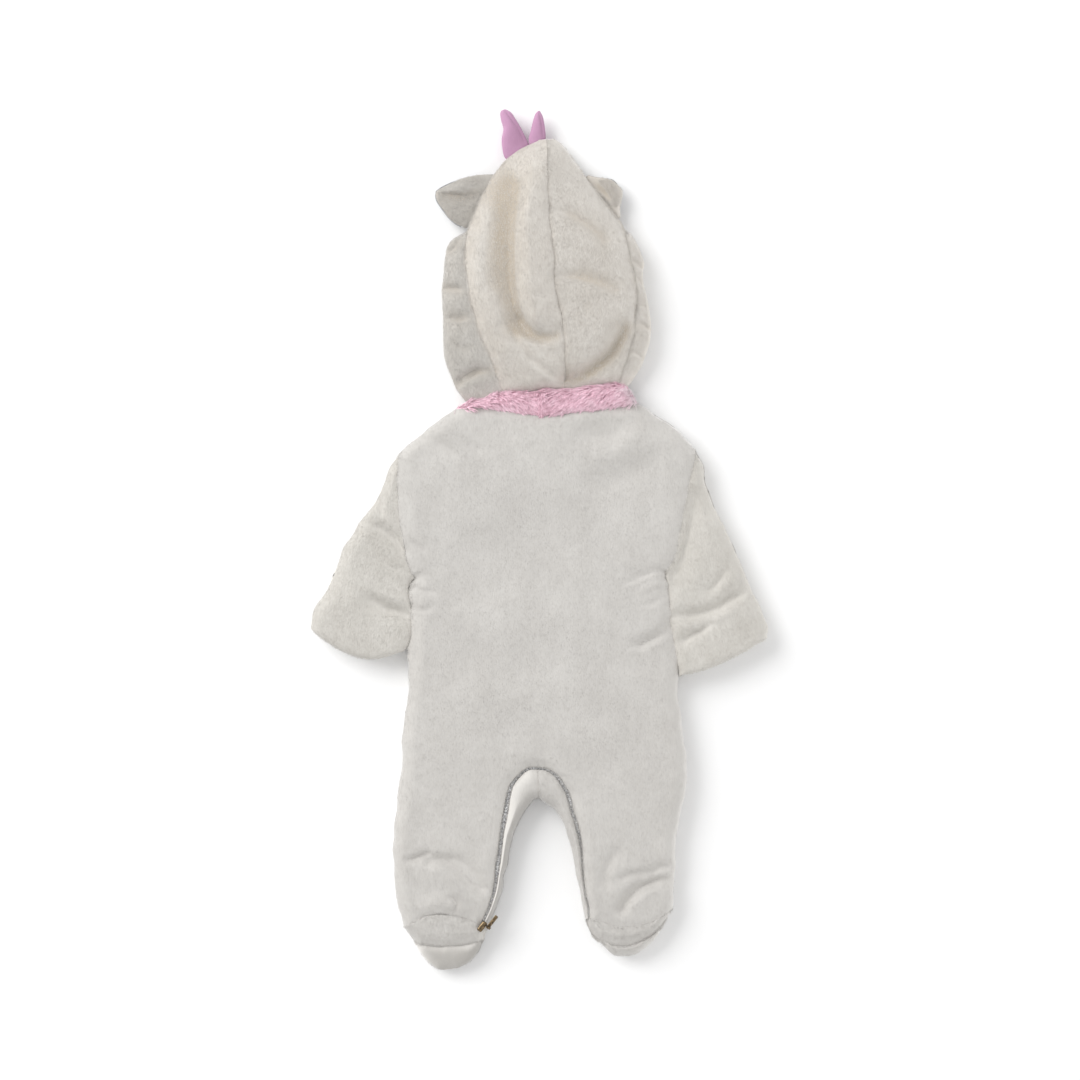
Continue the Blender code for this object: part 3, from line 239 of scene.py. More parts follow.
# %% Outlines, seams and heights of the hood
HOOD = table(
    HOOD_COLUMNS,
    (-35, 139.5, 23, 143, 75, 147.5, -69.5, 131.5, 84, 145.5, 21, 21, 27),
    (-42, 158, 23, 158.5, 77.5, 160.5, -79, 143.5, 90, 155, 24, 24, 33),
    (-48.5, 175, 23, 175, 82.5, 174, -84, 156, 96.5, 166, 27, 27, 38),
    (-56, 192, 22.5, 190, 87.5, 190, -90, 171, 102.5, 183.5, 29, 29, 42),
    (-62.5, 212, 19.5, 211, 90, 211, -92, 199.5, 105.5, 201.5, 30, 30, 44),
    (-67.5, 232, 15.5, 232, 91, 230, -92, 225, 102.5, 224, 31, 31, 45),
    (-70.5, 252.5, 13.5, 252, 89.5, 249, -92, 248, 99.5, 244, 31, 31, 45),
    (-71, 272.5, 13, 271.5, 85, 269, -89.5, 269, 98, 266, 30, 30, 44),
    (-70.5, 287, 10.5, 288, 81.5, 284, -85, 284, 90.5, 284, 27, 27, 43),
    (-66.5, 301, 9.5, 302, 76, 302, -66.5, 301, 76, 302, 16.2, 16.2, 42),
    (-59, 320, 8.5, 321, 63.5, 318, -59, 320, 63.5, 318, 16.2, 16.2, 40),
    (-50.5, 336, 7, 338, 50.5, 336, -50.5, 336, 50.5, 336, 16.2, 16.2, 37),
    (-40, 352.5, 6.5, 354, 39, 353.5, -40, 352.5, 39, 353.5, 14, 12, 34),
    (-27.5, 366, 6.5, 367.5, 28.5, 367.5, -27.5, 366, 28.5, 367.5, 16.2, 9, 30),
    (-13.5, 375, 6.5, 377, 20, 376, -13.5, 375, 20, 376, 16.2, 11, 26),
    (0, 381.5, 6.5, 382.3, 13.5, 381.5, 0, 381.5, 13.5, 381.5, 16.2, 15, 21),
)
SIDE_END_ROW = 8        # above this row the hood's side panel runs under the hood's top

# %% Ears and the two points of the crest, from root to tip
EAR_LEFT = table(
    LEAF_COLUMNS,
    (-40, 342, -61, 306, 12.1, 3.5),
    (-44, 347, -68.5, 297.5, 12.1, 3.5),
    (-55, 346.5, -75, 298.5, 13, 5),
    (-65.5, 345, -82, 302, 14, 6),
    (-76, 343, -88, 308, 14, 6),
    (-85.5, 340, -94, 316, 13, 5.5),
    (-94, 336, -98.5, 323, 12, 4.5),
    (-99, 332.5, -100, 328.5, 11, 2.5),
)
EAR_RIGHT = table(
    LEAF_COLUMNS,
    (41, 340, 66, 308, 12.1, 3.5),
    (46, 346.5, 75, 307, 12.1, 3.5),
    (54, 345, 76, 314, 12.5, 4.5),
    (62.5, 344, 76.5, 321, 13, 5),
    (69, 343, 77, 328, 12.5, 4),
    (73.5, 339.5, 77.5, 333, 12, 2),
)
CREST_LEFT = table(
    LEAF_COLUMNS,
    (-25, 357, -8, 370, 12.1, 3.5),
    (-33.5, 364, -12, 379.5, 12.1, 3.5),
    (-36, 373.5, -16, 388, 12.5, 5),
    (-36.5, 382, -20, 395.5, 13, 6),
    (-35, 391, -24, 402, 13, 6),
    (-37, 399, -27, 406.5, 13, 5),
    (-38, 405.5, -30.5, 409, 13, 3.5),
    (-37, 408.5, -33, 410, 13, 2),
)
CREST_RIGHT = table(
    LEAF_COLUMNS,
    (-8, 371, 5, 373, 12.1, 3.5),
    (-11, 380.5, 5.5, 383.5, 12.1, 3.5),
    (-8.5, 391, 5, 390.5, 12.5, 4.5),
    (-6.5, 399.5, 4, 397.5, 13, 4.5),
    (-4.5, 405.5, 2.5, 403.5, 13, 3.5),
    (-2, 408.3, 0, 408.3, 13, 2),
)

# %% Folds and creases: each follows a curve through three points
# Its height is above the cloth, or below it if negative, and the widths are how far it reaches to the
# left and to the right of its direction.
FOLDS = table(
    "x1 y1 x2 y2 x3 y3 height left right",
    # Hood: the standing ridge beside the centre seam, the valley next to it and its lower end
    (-2, 218, -8, 288, -5, 352, 9, 12, 28),
    (-22, 205, -33, 262, -27, 330, -9, 20, 9),
    (-22, 205, -6, 192, 14, 194, -6, 8, 6),
    (-38, 182, -60, 240, -54, 305, 4, 14, 16),
    (-44, 228, -21, 187, 6, 155, 4, 10, 8),
    (-35, 201, -18, 177, 5, 152, -4, 7, 6),
    (11, 311, 38, 302, 59, 283, -2.5, 7, 7),
    (15, 247, 43, 248, 68, 237, -3, 8, 5),
    (18, 220, 30, 219, 42, 221, -2, 5, 7),
    (79, 200, 63, 169, 25, 153, -6, 7, 10),
    # Hood sides
    (-90, 240, -80, 238, -71, 235, -3, 6, 6),
    (-84, 210, -76, 210, -67, 210, -3, 8, 8),
    (-90, 273, -82, 278, -74, 285, -2.5, 5, 5),
    (-77, 149, -61, 159, -45, 161, -4, 5, 4),
    (86, 263, 91, 261, 97, 257, -2.5, 4, 4),
    (89, 247, 93, 245, 98, 240, -2.5, 4, 4),
    (91, 203, 98, 202, 105, 199, -2.5, 4, 4),
    # Left sleeve
    (-152, 40, -150, 33, -150, 25, -3, 4, 4),
    (-166, 18, -146, 8, -131, -9, -4.5, 6, 7),
    (-160, -59, -144, -67, -127, -71, -7, 9, 8),
    (-172, -52, -180, -75, -150, -100, 2.5, 16, 16),
    # Right sleeve
    (146, 40, 141, -3, 128, -38, -5, 12, 7),
    (129, -71, 163, -67, 195, -47, -5.5, 7, 6),
    (137, -96, 151, -87, 161, -80, -3.5, 6, 5),
    (160, -49, 168, -41, 175, -32, -2.5, 6, 6),
    # Body
    (95, -100, 113, -89, 120, -76, -3, 6, 4),
    (40, 102, 80, 93, 125, 108, -2, 8, 8),
    (-75, 94, -66, 88, -58, 85, -1.5, 6, 6),
    # Left ankle
    (-125, -304, -116, -301, -107, -297, -3, 4, 4),
    (-103, -304, -77, -306, -56, -331, -6, 6, 6),
    (-96, -318, -84, -332, -92, -346, 4, 16, 16),
    (-82, -340, -79, -349, -87, -357, -2.5, 4, 4),
    # Right ankle
    (77, -350, 92, -329, 125, -323, -6.5, 6, 6),
    (78, -321, 96, -316, 121, -310, -4, 6, 6),
    (71, -297, 62, -310, 63, -324, -2.5, 7, 7),
)

# Sharp creases show in the cloth but are too fine for the solid model: a line of points, then the
# height and the widths on both sides.
CREASES = [
    # The left edge and the tip of the hood's standing ridge
    ([(-9, 350), (-14, 322), (-19, 290), (-19, 255), (-17, 230), (-11, 212), (-2, 203), (8, 201)],
     5, 20, 4.5),
    ([(-14, 340), (-22, 300), (-26, 262), (-24, 230), (-16, 207), (-4, 196), (10, 195)], -3.5, 4, 7),
    # Small creases in the tip of the ridge
    ([(6.5, 228), (6, 214), (8, 204)], -2.2, 2.2, 2.2),
    ([(-8, 231), (4, 230), (14, 231)], -1.6, 2, 2),
    # Ridge and groove that run from the valley's end down to the seam
    ([(-44, 228), (-36, 206), (-22, 184), (-6, 166), (6, 154)], 3, 3, 9),
    ([(-36, 214), (-24, 190), (-10, 172), (4, 160), (16, 152)], -3.5, 4, 3),
    # Right panel of the hood
    ([(13, 312), (30, 306), (52, 290), (62, 280)], -1.6, 5, 3),
    ([(15, 247), (32, 248), (52, 242), (67, 237)], -2.4, 6, 2.5),
    ([(19, 222), (30, 218), (40, 224)], 1.6, 3, 5),
    ([(80, 202), (72, 190), (60, 174), (42, 160), (24, 151)], -4, 8, 3),
    ([(84, 196), (76, 180), (64, 166), (48, 154)], 2.5, 4, 4),
    # Left rim of the hood
    ([(-92, 241), (-82, 240), (-72, 236)], -3, 2.5, 7),
    ([(-90, 270), (-80, 276), (-74, 286)], -2.5, 2.5, 6),
    ([(-86, 212), (-76, 209), (-66, 212)], -3, 6, 2.5),
    ([(-84, 190), (-72, 182), (-60, 184)], -2, 3, 6),
    ([(-78, 150), (-66, 158), (-54, 160), (-44, 163)], -3.5, 3, 5),
    # Right rim
    ([(86, 264), (92, 260), (98, 256)], -3, 3, 3),
    ([(88, 249), (94, 245), (99, 241)], -3, 2.5, 4),
    ([(88, 226), (96, 222), (102, 219)], -1.8, 3, 3),
    ([(90, 203), (98, 202), (105, 198)], -3, 3, 4),
    ([(84, 178), (92, 176), (98, 172)], -2, 3, 3),
    # Left ear, whose upper part is folded over, and the right ear
    ([(-95, 329), (-84, 329), (-72, 328), (-58, 333)], -3.5, 1.6, 8),
    ([(-94, 332), (-82, 334), (-68, 335), (-54, 338)], 1.5, 4, 3),
    ([(52, 338), (60, 332), (66, 324)], -2, 3, 3),
    # Stitched seams of the crest points
    ([(-33.5, 409), (-27, 400), (-21, 392), (-14, 378)], -1.6, 1.1, 1.1),
    ([(-1, 407), (1.5, 397), (3, 383)], -1.4, 1.1, 1.1),
    # Shoulders and back
    ([(-122, 96), (-104, 95), (-88, 86), (-76, 76)], -2.6, 5, 9),
    ([(-118, 106), (-98, 104), (-80, 96)], 1.4, 8, 8),
    ([(24, 90), (46, 98), (74, 106), (96, 112)], -3.4, 14, 9),
    ([(44, 70), (72, 86), (100, 96), (124, 98)], 3.2, 9, 14),
    ([(36, 50), (68, 58), (98, 70), (118, 76)], -3.4, 18, 14),
    ([(-112, -14), (-70, 34), (-20, 70), (40, 92)], 3.0, 24, 24),
    ([(-70, -40), (-10, 0), (50, 34), (104, 50)], -2.8, 26, 26),
    ([(-100, -96), (-30, -72), (50, -84), (110, -60)], 2.2, 26, 28),
    ([(-118, -140), (-60, -152), (20, -146), (90, -156)], 1.8, 22, 18),
    # Puckers under the arms
    ([(-124, -40), (-112, -48), (-98, -50)], -2.2, 3, 4),
    ([(-124, -62), (-112, -66), (-100, -62)], -1.6, 3, 3),
    ([(-125, 0), (-116, -6), (-108, -12)], -1.6, 3, 3),
    ([(124, -36), (112, -30), (98, -34), (80, -43)], -2.2, 2.5, 5),
    ([(126, -44), (112, -42), (96, -48)], 1.5, 3, 5),
    ([(128, -78), (116, -90), (100, -97), (84, -102)], -2.6, 2.5, 6),
    ([(118, -52), (108, -60), (98, -62)], -1.5, 3, 3),
    # Left sleeve
    ([(-153, 40), (-151, 33), (-150, 24)], -2.5, 2.5, 3),
    ([(-166, 17), (-152, 12), (-140, 4), (-131, -8)], -3, 3, 6),
    ([(-160, -58), (-148, -66), (-136, -70), (-124, -71)], -4, 6, 3),
    ([(-166, -46), (-150, -54), (-134, -58)], 2.4, 5, 5),
    ([(-142, -26), (-136, -28), (-130, -26)], -1.8, 3, 3),
    ([(-188, -30), (-176, -52), (-172, -76)], 1.6, 8, 8),
    # Right sleeve
    ([(144, 38), (141, 10), (134, -16), (127, -38)], -3.5, 6, 3),
    ([(128, -71), (144, -73), (166, -66), (194, -48)], -3.5, 5, 3),
    ([(132, -82), (150, -80), (172, -72), (192, -58)], 2.2, 4, 5),
    ([(136, -96), (148, -89), (160, -81)], -3, 4, 3),
    ([(160, -50), (168, -42), (175, -33)], -2, 3, 3),
    # Left leg and ankle
    ([(-124, -305), (-114, -300), (-106, -297)], -3, 2.2, 5),
    ([(-104, -305), (-90, -305), (-77, -314), (-67, -326), (-54, -334)], -4, 2.5, 4),
    ([(-106, -311), (-92, -312), (-82, -320), (-73, -332), (-64, -342)], 2.6, 4, 7),
    ([(-84, -338), (-80, -346), (-86, -355)], -2.8, 2.5, 3),
    ([(-100, -352), (-90, -356), (-82, -354)], 1.4, 4, 3),
    # Right leg and ankle
    ([(77, -350), (86, -338), (100, -328), (113, -322), (124, -323)], -4.5, 2.5, 4),
    ([(84, -352), (94, -340), (106, -333), (120, -331)], 2.4, 4, 7),
    ([(76, -322), (90, -316), (104, -315), (112, -310), (122, -309)], -3, 2.5, 5),
    ([(71, -297), (64, -308), (62, -322), (66, -336)], -2.4, 5, 5),
    # Above the crotch
    ([(-24, -214), (-2, -211), (18, -216)], -1.2, 4, 6),
]
# %% [markdown]
# ## Smooth lines from short tables
# A pattern cutter joins a few measured points with a French curve. A Catmull-Rom spline does the same:
# it passes through every row of a table, so the rows stay easy to read and to change.

# %% Curves, points and distances
def smoothed(table_rows, steps=STEPS):
    """The rows' columns on a Catmull-Rom curve: half of 2b + t(c-a) + t^2(2a-5b+4c-d) + t^3(3(b-c)+d-a)."""
    rows = np.array(table_rows, float)
    padded = np.vstack([2 * rows[0] - rows[1], rows, 2 * rows[-1] - rows[-2]])
    places = np.linspace(0, len(rows) - 1, (len(rows) - 1) * steps + 1)
    start = np.minimum(places.astype(int), len(rows) - 2)
    t = (places - start)[:, None]
    a, b, c, d = (padded[start + k] for k in range(4))
    curve = b + 0.5 * t * (c - a + t * (2 * a - 5 * b + 4 * c - d + t * (3 * (b - c) + d - a)))
    return type(table_rows[0])(*curve.T)


def pairs(x, y):
    """Points from their X and Y values."""
    return np.stack([x, y], axis=-1)


def points3(plan, height):
    """Points of a plan with their heights."""
    return np.concatenate([plan, np.broadcast_to(height, plan.shape[:-1])[..., None]], axis=-1)


def unit(vectors):
    """Vectors divided by their lengths."""
    return vectors / np.maximum(np.linalg.norm(vectors, axis=-1, keepdims=True), 1e-9)


def normals(line):
    """Unit normals of a line in plan, to the left of its direction: the tangent turned by 90 degrees."""
    tangent = unit(np.gradient(line, axis=0))
    return pairs(-tangent[:, 1], tangent[:, 0])


def parabola(start, middle, end, shares):
    """For every row, the parabola through start, middle and end: a(1-s)(1-2s) + 4bs(1-s) + cs(2s-1)."""
    s = np.asarray(shares)[..., None]
    start, middle, end = start[:, None], middle[:, None], end[:, None]
    return start * (1 - s) * (1 - 2 * s) + middle * 4 * s * (1 - s) + end * s * (2 * s - 1)


def along(line, shares):
    """Points at the shares of a line's length."""
    length = np.concatenate([[0], np.cumsum(np.linalg.norm(np.diff(line, axis=0), axis=1))])
    places = np.asarray(shares) * length[-1]
    return pairs(np.interp(places, length, line[:, 0]), np.interp(places, length, line[:, 1]))


def spread(count, first=0.85, last=0.0, reach=0.03):
    """Shares from 0 to 1 that crowd at an end: t - first*t*exp(-t/reach), and the same from the other end."""
    t = np.linspace(0, 1, count)
    return t - first * t * np.exp(-t / reach) + last * (1 - t) * np.exp(-(1 - t) / reach)


def nearest(plan, line):
    """Distance from every point to a line, and the place on it: |p - a - s(b - a)| with s kept in 0 to 1."""
    flat = plan.reshape(-1, 2)
    start, step = line[:-1], np.diff(line, axis=0)
    square = np.maximum((step * step).sum(-1), 1e-9)
    distances, places = [], []
    for block in np.array_split(flat, len(flat) * len(start) // 1_500_000 + 1):
        offset = block[:, None] - start
        share = np.clip((offset * step).sum(-1) / square, 0, 1)
        apart = offset - share[..., None] * step
        apart = (apart * apart).sum(-1)
        best = apart.argmin(1)
        row = np.arange(len(block))
        distances.append(np.sqrt(apart[row, best]))
        places.append(share[row, best] + best)
    return np.concatenate(distances).reshape(plan.shape[:-1]), np.concatenate(places).reshape(plan.shape[:-1])


def risen(distance, width, power=0.5):
    """0 at a seam and 1 from the width on: (1 - (1 - d/w)^2)^power, a quarter round for 0.5."""
    return (1 - (1 - np.clip(distance / width, 0, 1)) ** 2) ** power


print("a table of 2 rows gives", len(smoothed(TRUNK[:2]).left_x), "rows of points")

# %% [markdown]
# ## Height of padded cloth
# A quilted or padded panel is fullest in its middle and is pulled down where it is sewn. One rule
# gives that: the panel is level at its top, and rounds down to each seam's own height over the seam's
# width. Folds are added as long bells across a curve, steeper on one side than on the other.

# %% Padding and folds
Seam = namedtuple("Seam", "line level width power", defaults=(0.5,))
SOFT = 0.9              # power of a sewn seam's profile, which is shallower than a quarter round
BELL_REACH = 2.6        # widths after which a fold's bell has died away
FOLD_POINTS = 60        # on the curve of a fold
CREASE_STEPS = 20       # between two points of a crease


def padded_height(plan, top, seams):
    """top + the largest of (seam's level - top)(1 - risen(distance to the seam))."""
    change = np.zeros(plan.shape[:-1])
    for seam in seams:
        distance, place = nearest(plan, seam.line)
        level = np.interp(place, np.arange(len(seam.line)), np.broadcast_to(seam.level, len(seam.line)))
        effect = (level - top) * (1 - risen(distance, seam.width, seam.power))
        change = np.where(np.abs(effect) > np.abs(change), effect, change)
    return top + change


def bell(plan, curve, height, left, right):
    """Height * exp(-(distance/width)^2) across a curve, with the width of the point's own side."""
    flat = plan.reshape(-1, 2)
    total = np.zeros(len(flat))
    reach = BELL_REACH * max(left, right)
    near = ((flat > curve.min(0) - reach) & (flat < curve.max(0) + reach)).all(1)
    if near.any():
        distance, place = nearest(flat[near], curve)
        first = np.minimum(place.astype(int), len(curve) - 2)
        step = curve[first + 1] - curve[first]
        offset = flat[near] - curve[first]
        across = step[:, 0] * offset[:, 1] - step[:, 1] * offset[:, 0]
        across /= np.linalg.norm(step, axis=-1) * np.maximum(np.linalg.norm(offset, axis=-1), 1e-6)
        width = right + (left - right) * (0.5 + 0.5 * np.clip(across, -1, 1))
        total[near] = np.interp(place, np.arange(len(curve)), height) * np.exp(-((distance / width) ** 2))
    return total.reshape(plan.shape[:-1])


def fold_height(plan):
    """Sum of the broad folds, each along a curve through three points."""
    total = np.zeros(plan.shape[:-1])
    for fold in FOLDS:
        ends = [np.array([[fold[k], fold[k + 1]]], float) for k in (0, 2, 4)]
        curve = parabola(*ends, np.linspace(0, 1, FOLD_POINTS))[0]
        total += bell(plan, curve, np.full(FOLD_POINTS, fold.height), fold.left, fold.right)
    return total


def crease_height(plan):
    """Sum of the sharp creases, each along a smooth curve, and lower towards its ends by sin(pi t)^0.6."""
    total = np.zeros(plan.shape[:-1])
    for points, height, left, right in CREASES:
        curve = smoothed(table("x y", *points), CREASE_STEPS)
        curve = pairs(curve.x, curve.y)
        swell = np.sin(np.pi * np.linspace(0.02, 0.98, len(curve))) ** 0.6
        total += bell(plan, curve, height * swell, left, right)
    return total


def seam_distance(plan, seams):
    """Distance to the nearest of some seams."""
    return np.min([nearest(plan, seam.line)[0] for seam in seams], axis=0)


# %% [markdown]
# ## Noise that can be repeated
# Pile and stuffing are never quite even. Value noise is enough for both: random numbers sit on a
# grid, and a smooth step blends the four around each point. A fixed seed gives the same cloth each time.

# %% Value noise
LATTICE = np.random.default_rng(7).random((256, 256))
CLUMP, PUCKER, WAVE = 0.13, 0.32, 1.2   # heights in mm of the three kinds of unevenness


def noise(x, y, shift=0):
    """Blend of the four lattice values around a point with the weights f*f*(3 - 2f), from -1 to 1."""
    x, y = np.asarray(x, float) + 37.3 * shift, np.asarray(y, float) + 91.7 * shift
    column, row = np.floor(x).astype(int), np.floor(y).astype(int)
    fx, fy = x - column, y - row
    fx, fy = fx * fx * (3 - 2 * fx), fy * fy * (3 - 2 * fy)
    a, b = LATTICE[row % 256, column % 256], LATTICE[row % 256, (column + 1) % 256]
    c, d = LATTICE[(row + 1) % 256, column % 256], LATTICE[(row + 1) % 256, (column + 1) % 256]
    return 2 * ((a * (1 - fx) + b * fx) * (1 - fy) + (c * (1 - fx) + d * fx) * fy) - 1


def pile_height(points):
    """Unevenness in mm: clumps 5 mm wide, puckers 10 mm wide and slow waves of the stuffing."""
    clump = noise(points[:, 0] / 4.5, points[:, 1] / 7 + points[:, 2] / 5, 3)
    pucker = noise(points[:, 0] / 11, points[:, 1] / 9 + points[:, 2] / 9, 6)
    wave = noise(points[:, 0] / 34 + points[:, 1] / 90, points[:, 1] / 30 - points[:, 0] / 80, 4)
    return CLUMP * clump + PUCKER * pucker + WAVE * wave


print("noise before blending runs from", *(round(float(end), 2) for end in (LATTICE.min(), LATTICE.max())))

# %% [markdown]
# ## From grids of points to one closed piece
# Cloth with padding is a shell: an outer face, an inner face and a rim along every edge. The outer
# grids of one piece are welded where they meet. Edges that only one quad uses are the piece's border,
# and a rim of quads joins it to the inner face. Where the inner face is hidden and flat, one fill is
# enough.

# %% Build a padded wall
Patch = namedtuple("Patch", "outer inner")


def grid_quads(rows, columns, first=0):
    """Corner numbers of a grid's quads."""
    grid = first + np.arange(rows * columns).reshape(rows, columns)
    return np.stack([grid[:-1, :-1], grid[1:, :-1], grid[1:, 1:], grid[:-1, 1:]], axis=-1).reshape(-1, 4)


def join_faces(name, vertices, faces, slot_name, replaced=()):
    """A mesh object in metres from points in millimetres; it rides on the suit and takes a finish slot."""
    mesh = bpy.data.meshes.new(name)
    mesh.from_pydata((np.asarray(vertices) * MM).tolist(), [], faces)
    piece = bpy.data.objects.new(name, mesh)
    bpy.context.scene.collection.objects.link(piece)
    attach(piece, ROOT)
    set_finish(piece, slot_name)
    if replaced:
        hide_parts(*replaced)
    return piece


def turn_outward(piece, fill=False):
    """Fill an open flat border if asked, merge doubles and point every face out."""
    shape = bmesh.new()
    shape.from_mesh(piece.data)
    bmesh.ops.remove_doubles(shape, verts=shape.verts, dist=0.004 * MM)
    if fill:
        border = [edge for edge in shape.edges if edge.is_boundary]
        bmesh.ops.triangle_fill(shape, edges=border, use_beauty=False)
    loose = [vertex for vertex in shape.verts if not vertex.link_faces]
    bmesh.ops.delete(shape, geom=loose, context="VERTS")
    bmesh.ops.recalc_face_normals(shape, faces=shape.faces)
    shape.to_mesh(piece.data)
    shape.free()
    piece.data.shade_smooth()
    piece.data.set_sharp_from_angle(angle=np.radians(55))


def wall(name, patches, slot_name, replaced=(), plain_inside=False):
    """Closed wall from patches: outer quads, inner quads turned over, and a rim along the border."""
    outer = np.concatenate([patch.outer.reshape(-1, 3) for patch in patches])
    inner = np.concatenate([patch.inner.reshape(-1, 3) for patch in patches])
    _, kept, number = np.unique(np.round(outer, 2), axis=0, return_index=True, return_inverse=True)
    sizes = [patch.outer.shape[0] * patch.outer.shape[1] for patch in patches]
    starts = np.concatenate([[0], np.cumsum(sizes)[:-1]])
    quads = np.concatenate([
        grid_quads(*patch.outer.shape[:2], start) for patch, start in zip(patches, starts)])
    quads = number.reshape(-1)[quads]
    edges = np.concatenate([quads[:, [k, (k + 1) % 4]] for k in range(4)])
    edges = edges[edges[:, 0] != edges[:, 1]]
    _, place, uses = np.unique(np.sort(edges, axis=1), axis=0, return_index=True, return_counts=True)
    border = edges[place[uses == 1]]
    count = len(kept)
    rim = np.stack([border[:, 1], border[:, 0], border[:, 0] + count, border[:, 1] + count], axis=1)
    faces = [quads, rim] if plain_inside else [quads, quads[:, ::-1] + count, rim]
    faces = np.concatenate(faces)
    ordered = np.sort(faces, axis=1)
    repeated = (ordered[:, 1:] == ordered[:, :-1]).any(1)
    thin = [list(dict.fromkeys(face)) for face in faces[repeated].tolist()]
    faces = faces[~repeated].tolist() + [face for face in thin if len(face) > 2]
    piece = join_faces(name, np.concatenate([outer[kept], inner[kept]]), faces, slot_name, replaced)
    turn_outward(piece, plain_inside)
    return piece


def vertex_data(piece):
    """Points and normals of a piece's mesh, in millimetres."""
    mesh = piece.data
    points = np.empty(len(mesh.vertices) * 3)
    mesh.vertices.foreach_get("co", points)
    normal = np.empty(len(mesh.vertices) * 3, np.float32)
    mesh.vertex_normals.foreach_get("vector", normal)
    return points.reshape(-1, 3) / MM, normal.reshape(-1, 3).astype(float)


WOBBLE = 1.1            # how far a seam strays from its line
SLIDER = (-50, -366)    # seams run true this near the slider: 12 mm, then less so for 25 mm
ON_TOP = 17.0           # above this height the pile moves points up, below it out
TUCKED_IN = 1.0         # how far the cloth below a side seam draws in


def wobbled(plan):
    """Plan moved by slow noise in X and Y, because seams are sewn by hand and never run true."""
    x, y = plan[..., 0], plan[..., 1]
    free = np.clip((np.hypot(x - SLIDER[0], y - SLIDER[1]) - 12) / 25, 0, 1)
    move = pairs(noise(x / 13, y / 13, 11), noise(x / 13, y / 13, 15))
    return plan + WOBBLE * move * free[..., None]


def raise_pile(piece, strength=1.0, tucked=0.0):
    """Move points by the pile's height, straight up on top and straight out at the side, so seams stay shut.

    Below the side seam the cloth can also be tucked in, so that only the upper side shows from above."""
    points, normal = vertex_data(piece)
    on_top = np.clip((points[:, 2:] - ON_TOP) / 3, 0, 1)
    upright = np.sign(normal[:, 2:]) * np.array([0, 0, 1.0])
    level = normal * np.array([1, 1, 0])
    outward = level / np.maximum(np.linalg.norm(level, axis=1, keepdims=True), 0.4)
    way = outward * (1 - on_top) + upright * on_top
    lift = strength * (0.7 + 0.3 * on_top) * pile_height(points)[:, None]
    below = np.clip((MID - points[:, 2:]) / 5, 0, 1) * np.clip((points[:, 2:] - ARMHOLE_FLOOR) / 3, 0, 1)
    moved = points + way * (lift - tucked * below)
    moved[:, :2] = wobbled(moved[:, :2])
    moved[:, 2] = np.maximum(moved[:, 2], 0.05)
    piece.data.vertices.foreach_set("co", (moved * MM).ravel())
    piece.data.update()


def mark(piece, name, values):
    """Keep one number a point for the piece's material to read."""
    attribute = piece.data.attributes.new(name, "FLOAT", "POINT")
    attribute.data.foreach_set("value", np.asarray(values, np.float32))


def painted_light_share(points, normal, low=21.0):
    """Painted light: slopes that face the lower right, away from the key light, are painted paler, mostly at
    the rim.
    """
    at_outline = np.clip((low + 4 - points[:, 2]) / 8, 0, 1)
    turn = np.clip(0.9 * normal[:, 0] - 0.25 * normal[:, 1], 0, 1)
    return np.clip(turn * (0.65 + 0.35 * at_outline), 0, 1)


def mark_painted_light_and_shade(piece, deep=0.0, low=21.0, against=0.25):
    """Keep at each point how much painted light and painted shade its colour gets: the given shade, and more
    on slopes that face the key light on the left.
    """
    points, normal = vertex_data(piece)
    # painted light on slopes turned away from the key light
    mark(piece, "pale", painted_light_share(points, normal, low))
    # painted shade: the given amount, and more on slopes that face the key light
    mark(piece, "deep", np.clip(deep + against * np.clip(-normal[:, 0], 0, 1), 0, 1))


def softened(height, passes=2):
    """Height averaged with its four neighbours in the grid, away from the edges."""
    for _ in range(passes):
        middle = height[1:-1, 1:-1]
        middle = middle + height[2:, 1:-1] + height[:-2, 1:-1] + height[1:-1, 2:] + height[1:-1, :-2]
        height = height.copy()
        height[1:-1, 1:-1] = middle / 5
    return height


def report(piece):
    """Print how many triangles a piece has, and hand it back."""
    print(piece.name, sum(len(face.vertices) - 2 for face in piece.data.polygons), "triangles")
    return piece


def sewn(node_name, ending, patches, slot_name, strength=1.0, tucked=0.0, plain_inside=False):
    """The wall that stands for one node of the solid model, with its pile raised."""
    piece = wall(node_name + ending, patches, slot_name, [node_name], plain_inside)
    raise_pile(piece, strength, tucked)
    return report(piece)


def folds_at(piece):
    """Height of all folds and creases at a piece's points."""
    plan = vertex_data(piece)[0][:, :2]
    return fold_height(plan) + crease_height(plan)

# %% [markdown]
# ## The plan of the body
# The trunk, both legs and both feet share their lines: the back's edge is the front's edge, and the
# zip lies between them. So every line is worked out once and kept by its side, -1 for left and 1 for
# right.

# %% Lines that the body's panels share
trunk, left_leg, right_leg = smoothed(TRUNK), smoothed(LEFT_LEG), smoothed(RIGHT_LEG)
shoulder, underarm = SHOULDER_ROW * STEPS, UNDERARM_ROW * STEPS
sides = {-1: pairs(trunk.left_x, trunk.left_y), 1: pairs(trunk.right_x, trunk.right_y)}
trunk_middle = pairs(trunk.middle_x, trunk.middle_y)
zip_left, zip_right = (pairs(leg.zip_x, leg.zip_y) for leg in (left_leg, right_leg))
zip_line = np.concatenate([zip_left[::-1], zip_right[1:]])
zip_half = ZIP_SHOWN * np.concatenate([left_leg.zip_half[::-1], right_leg.zip_half[1:]])[:, None]
APEX = len(left_leg.zip_x) - 1
zip_out = zip_line + normals(zip_line) * (zip_half + GAP)
zip_in = zip_line - normals(zip_line) * (zip_half + GAP)


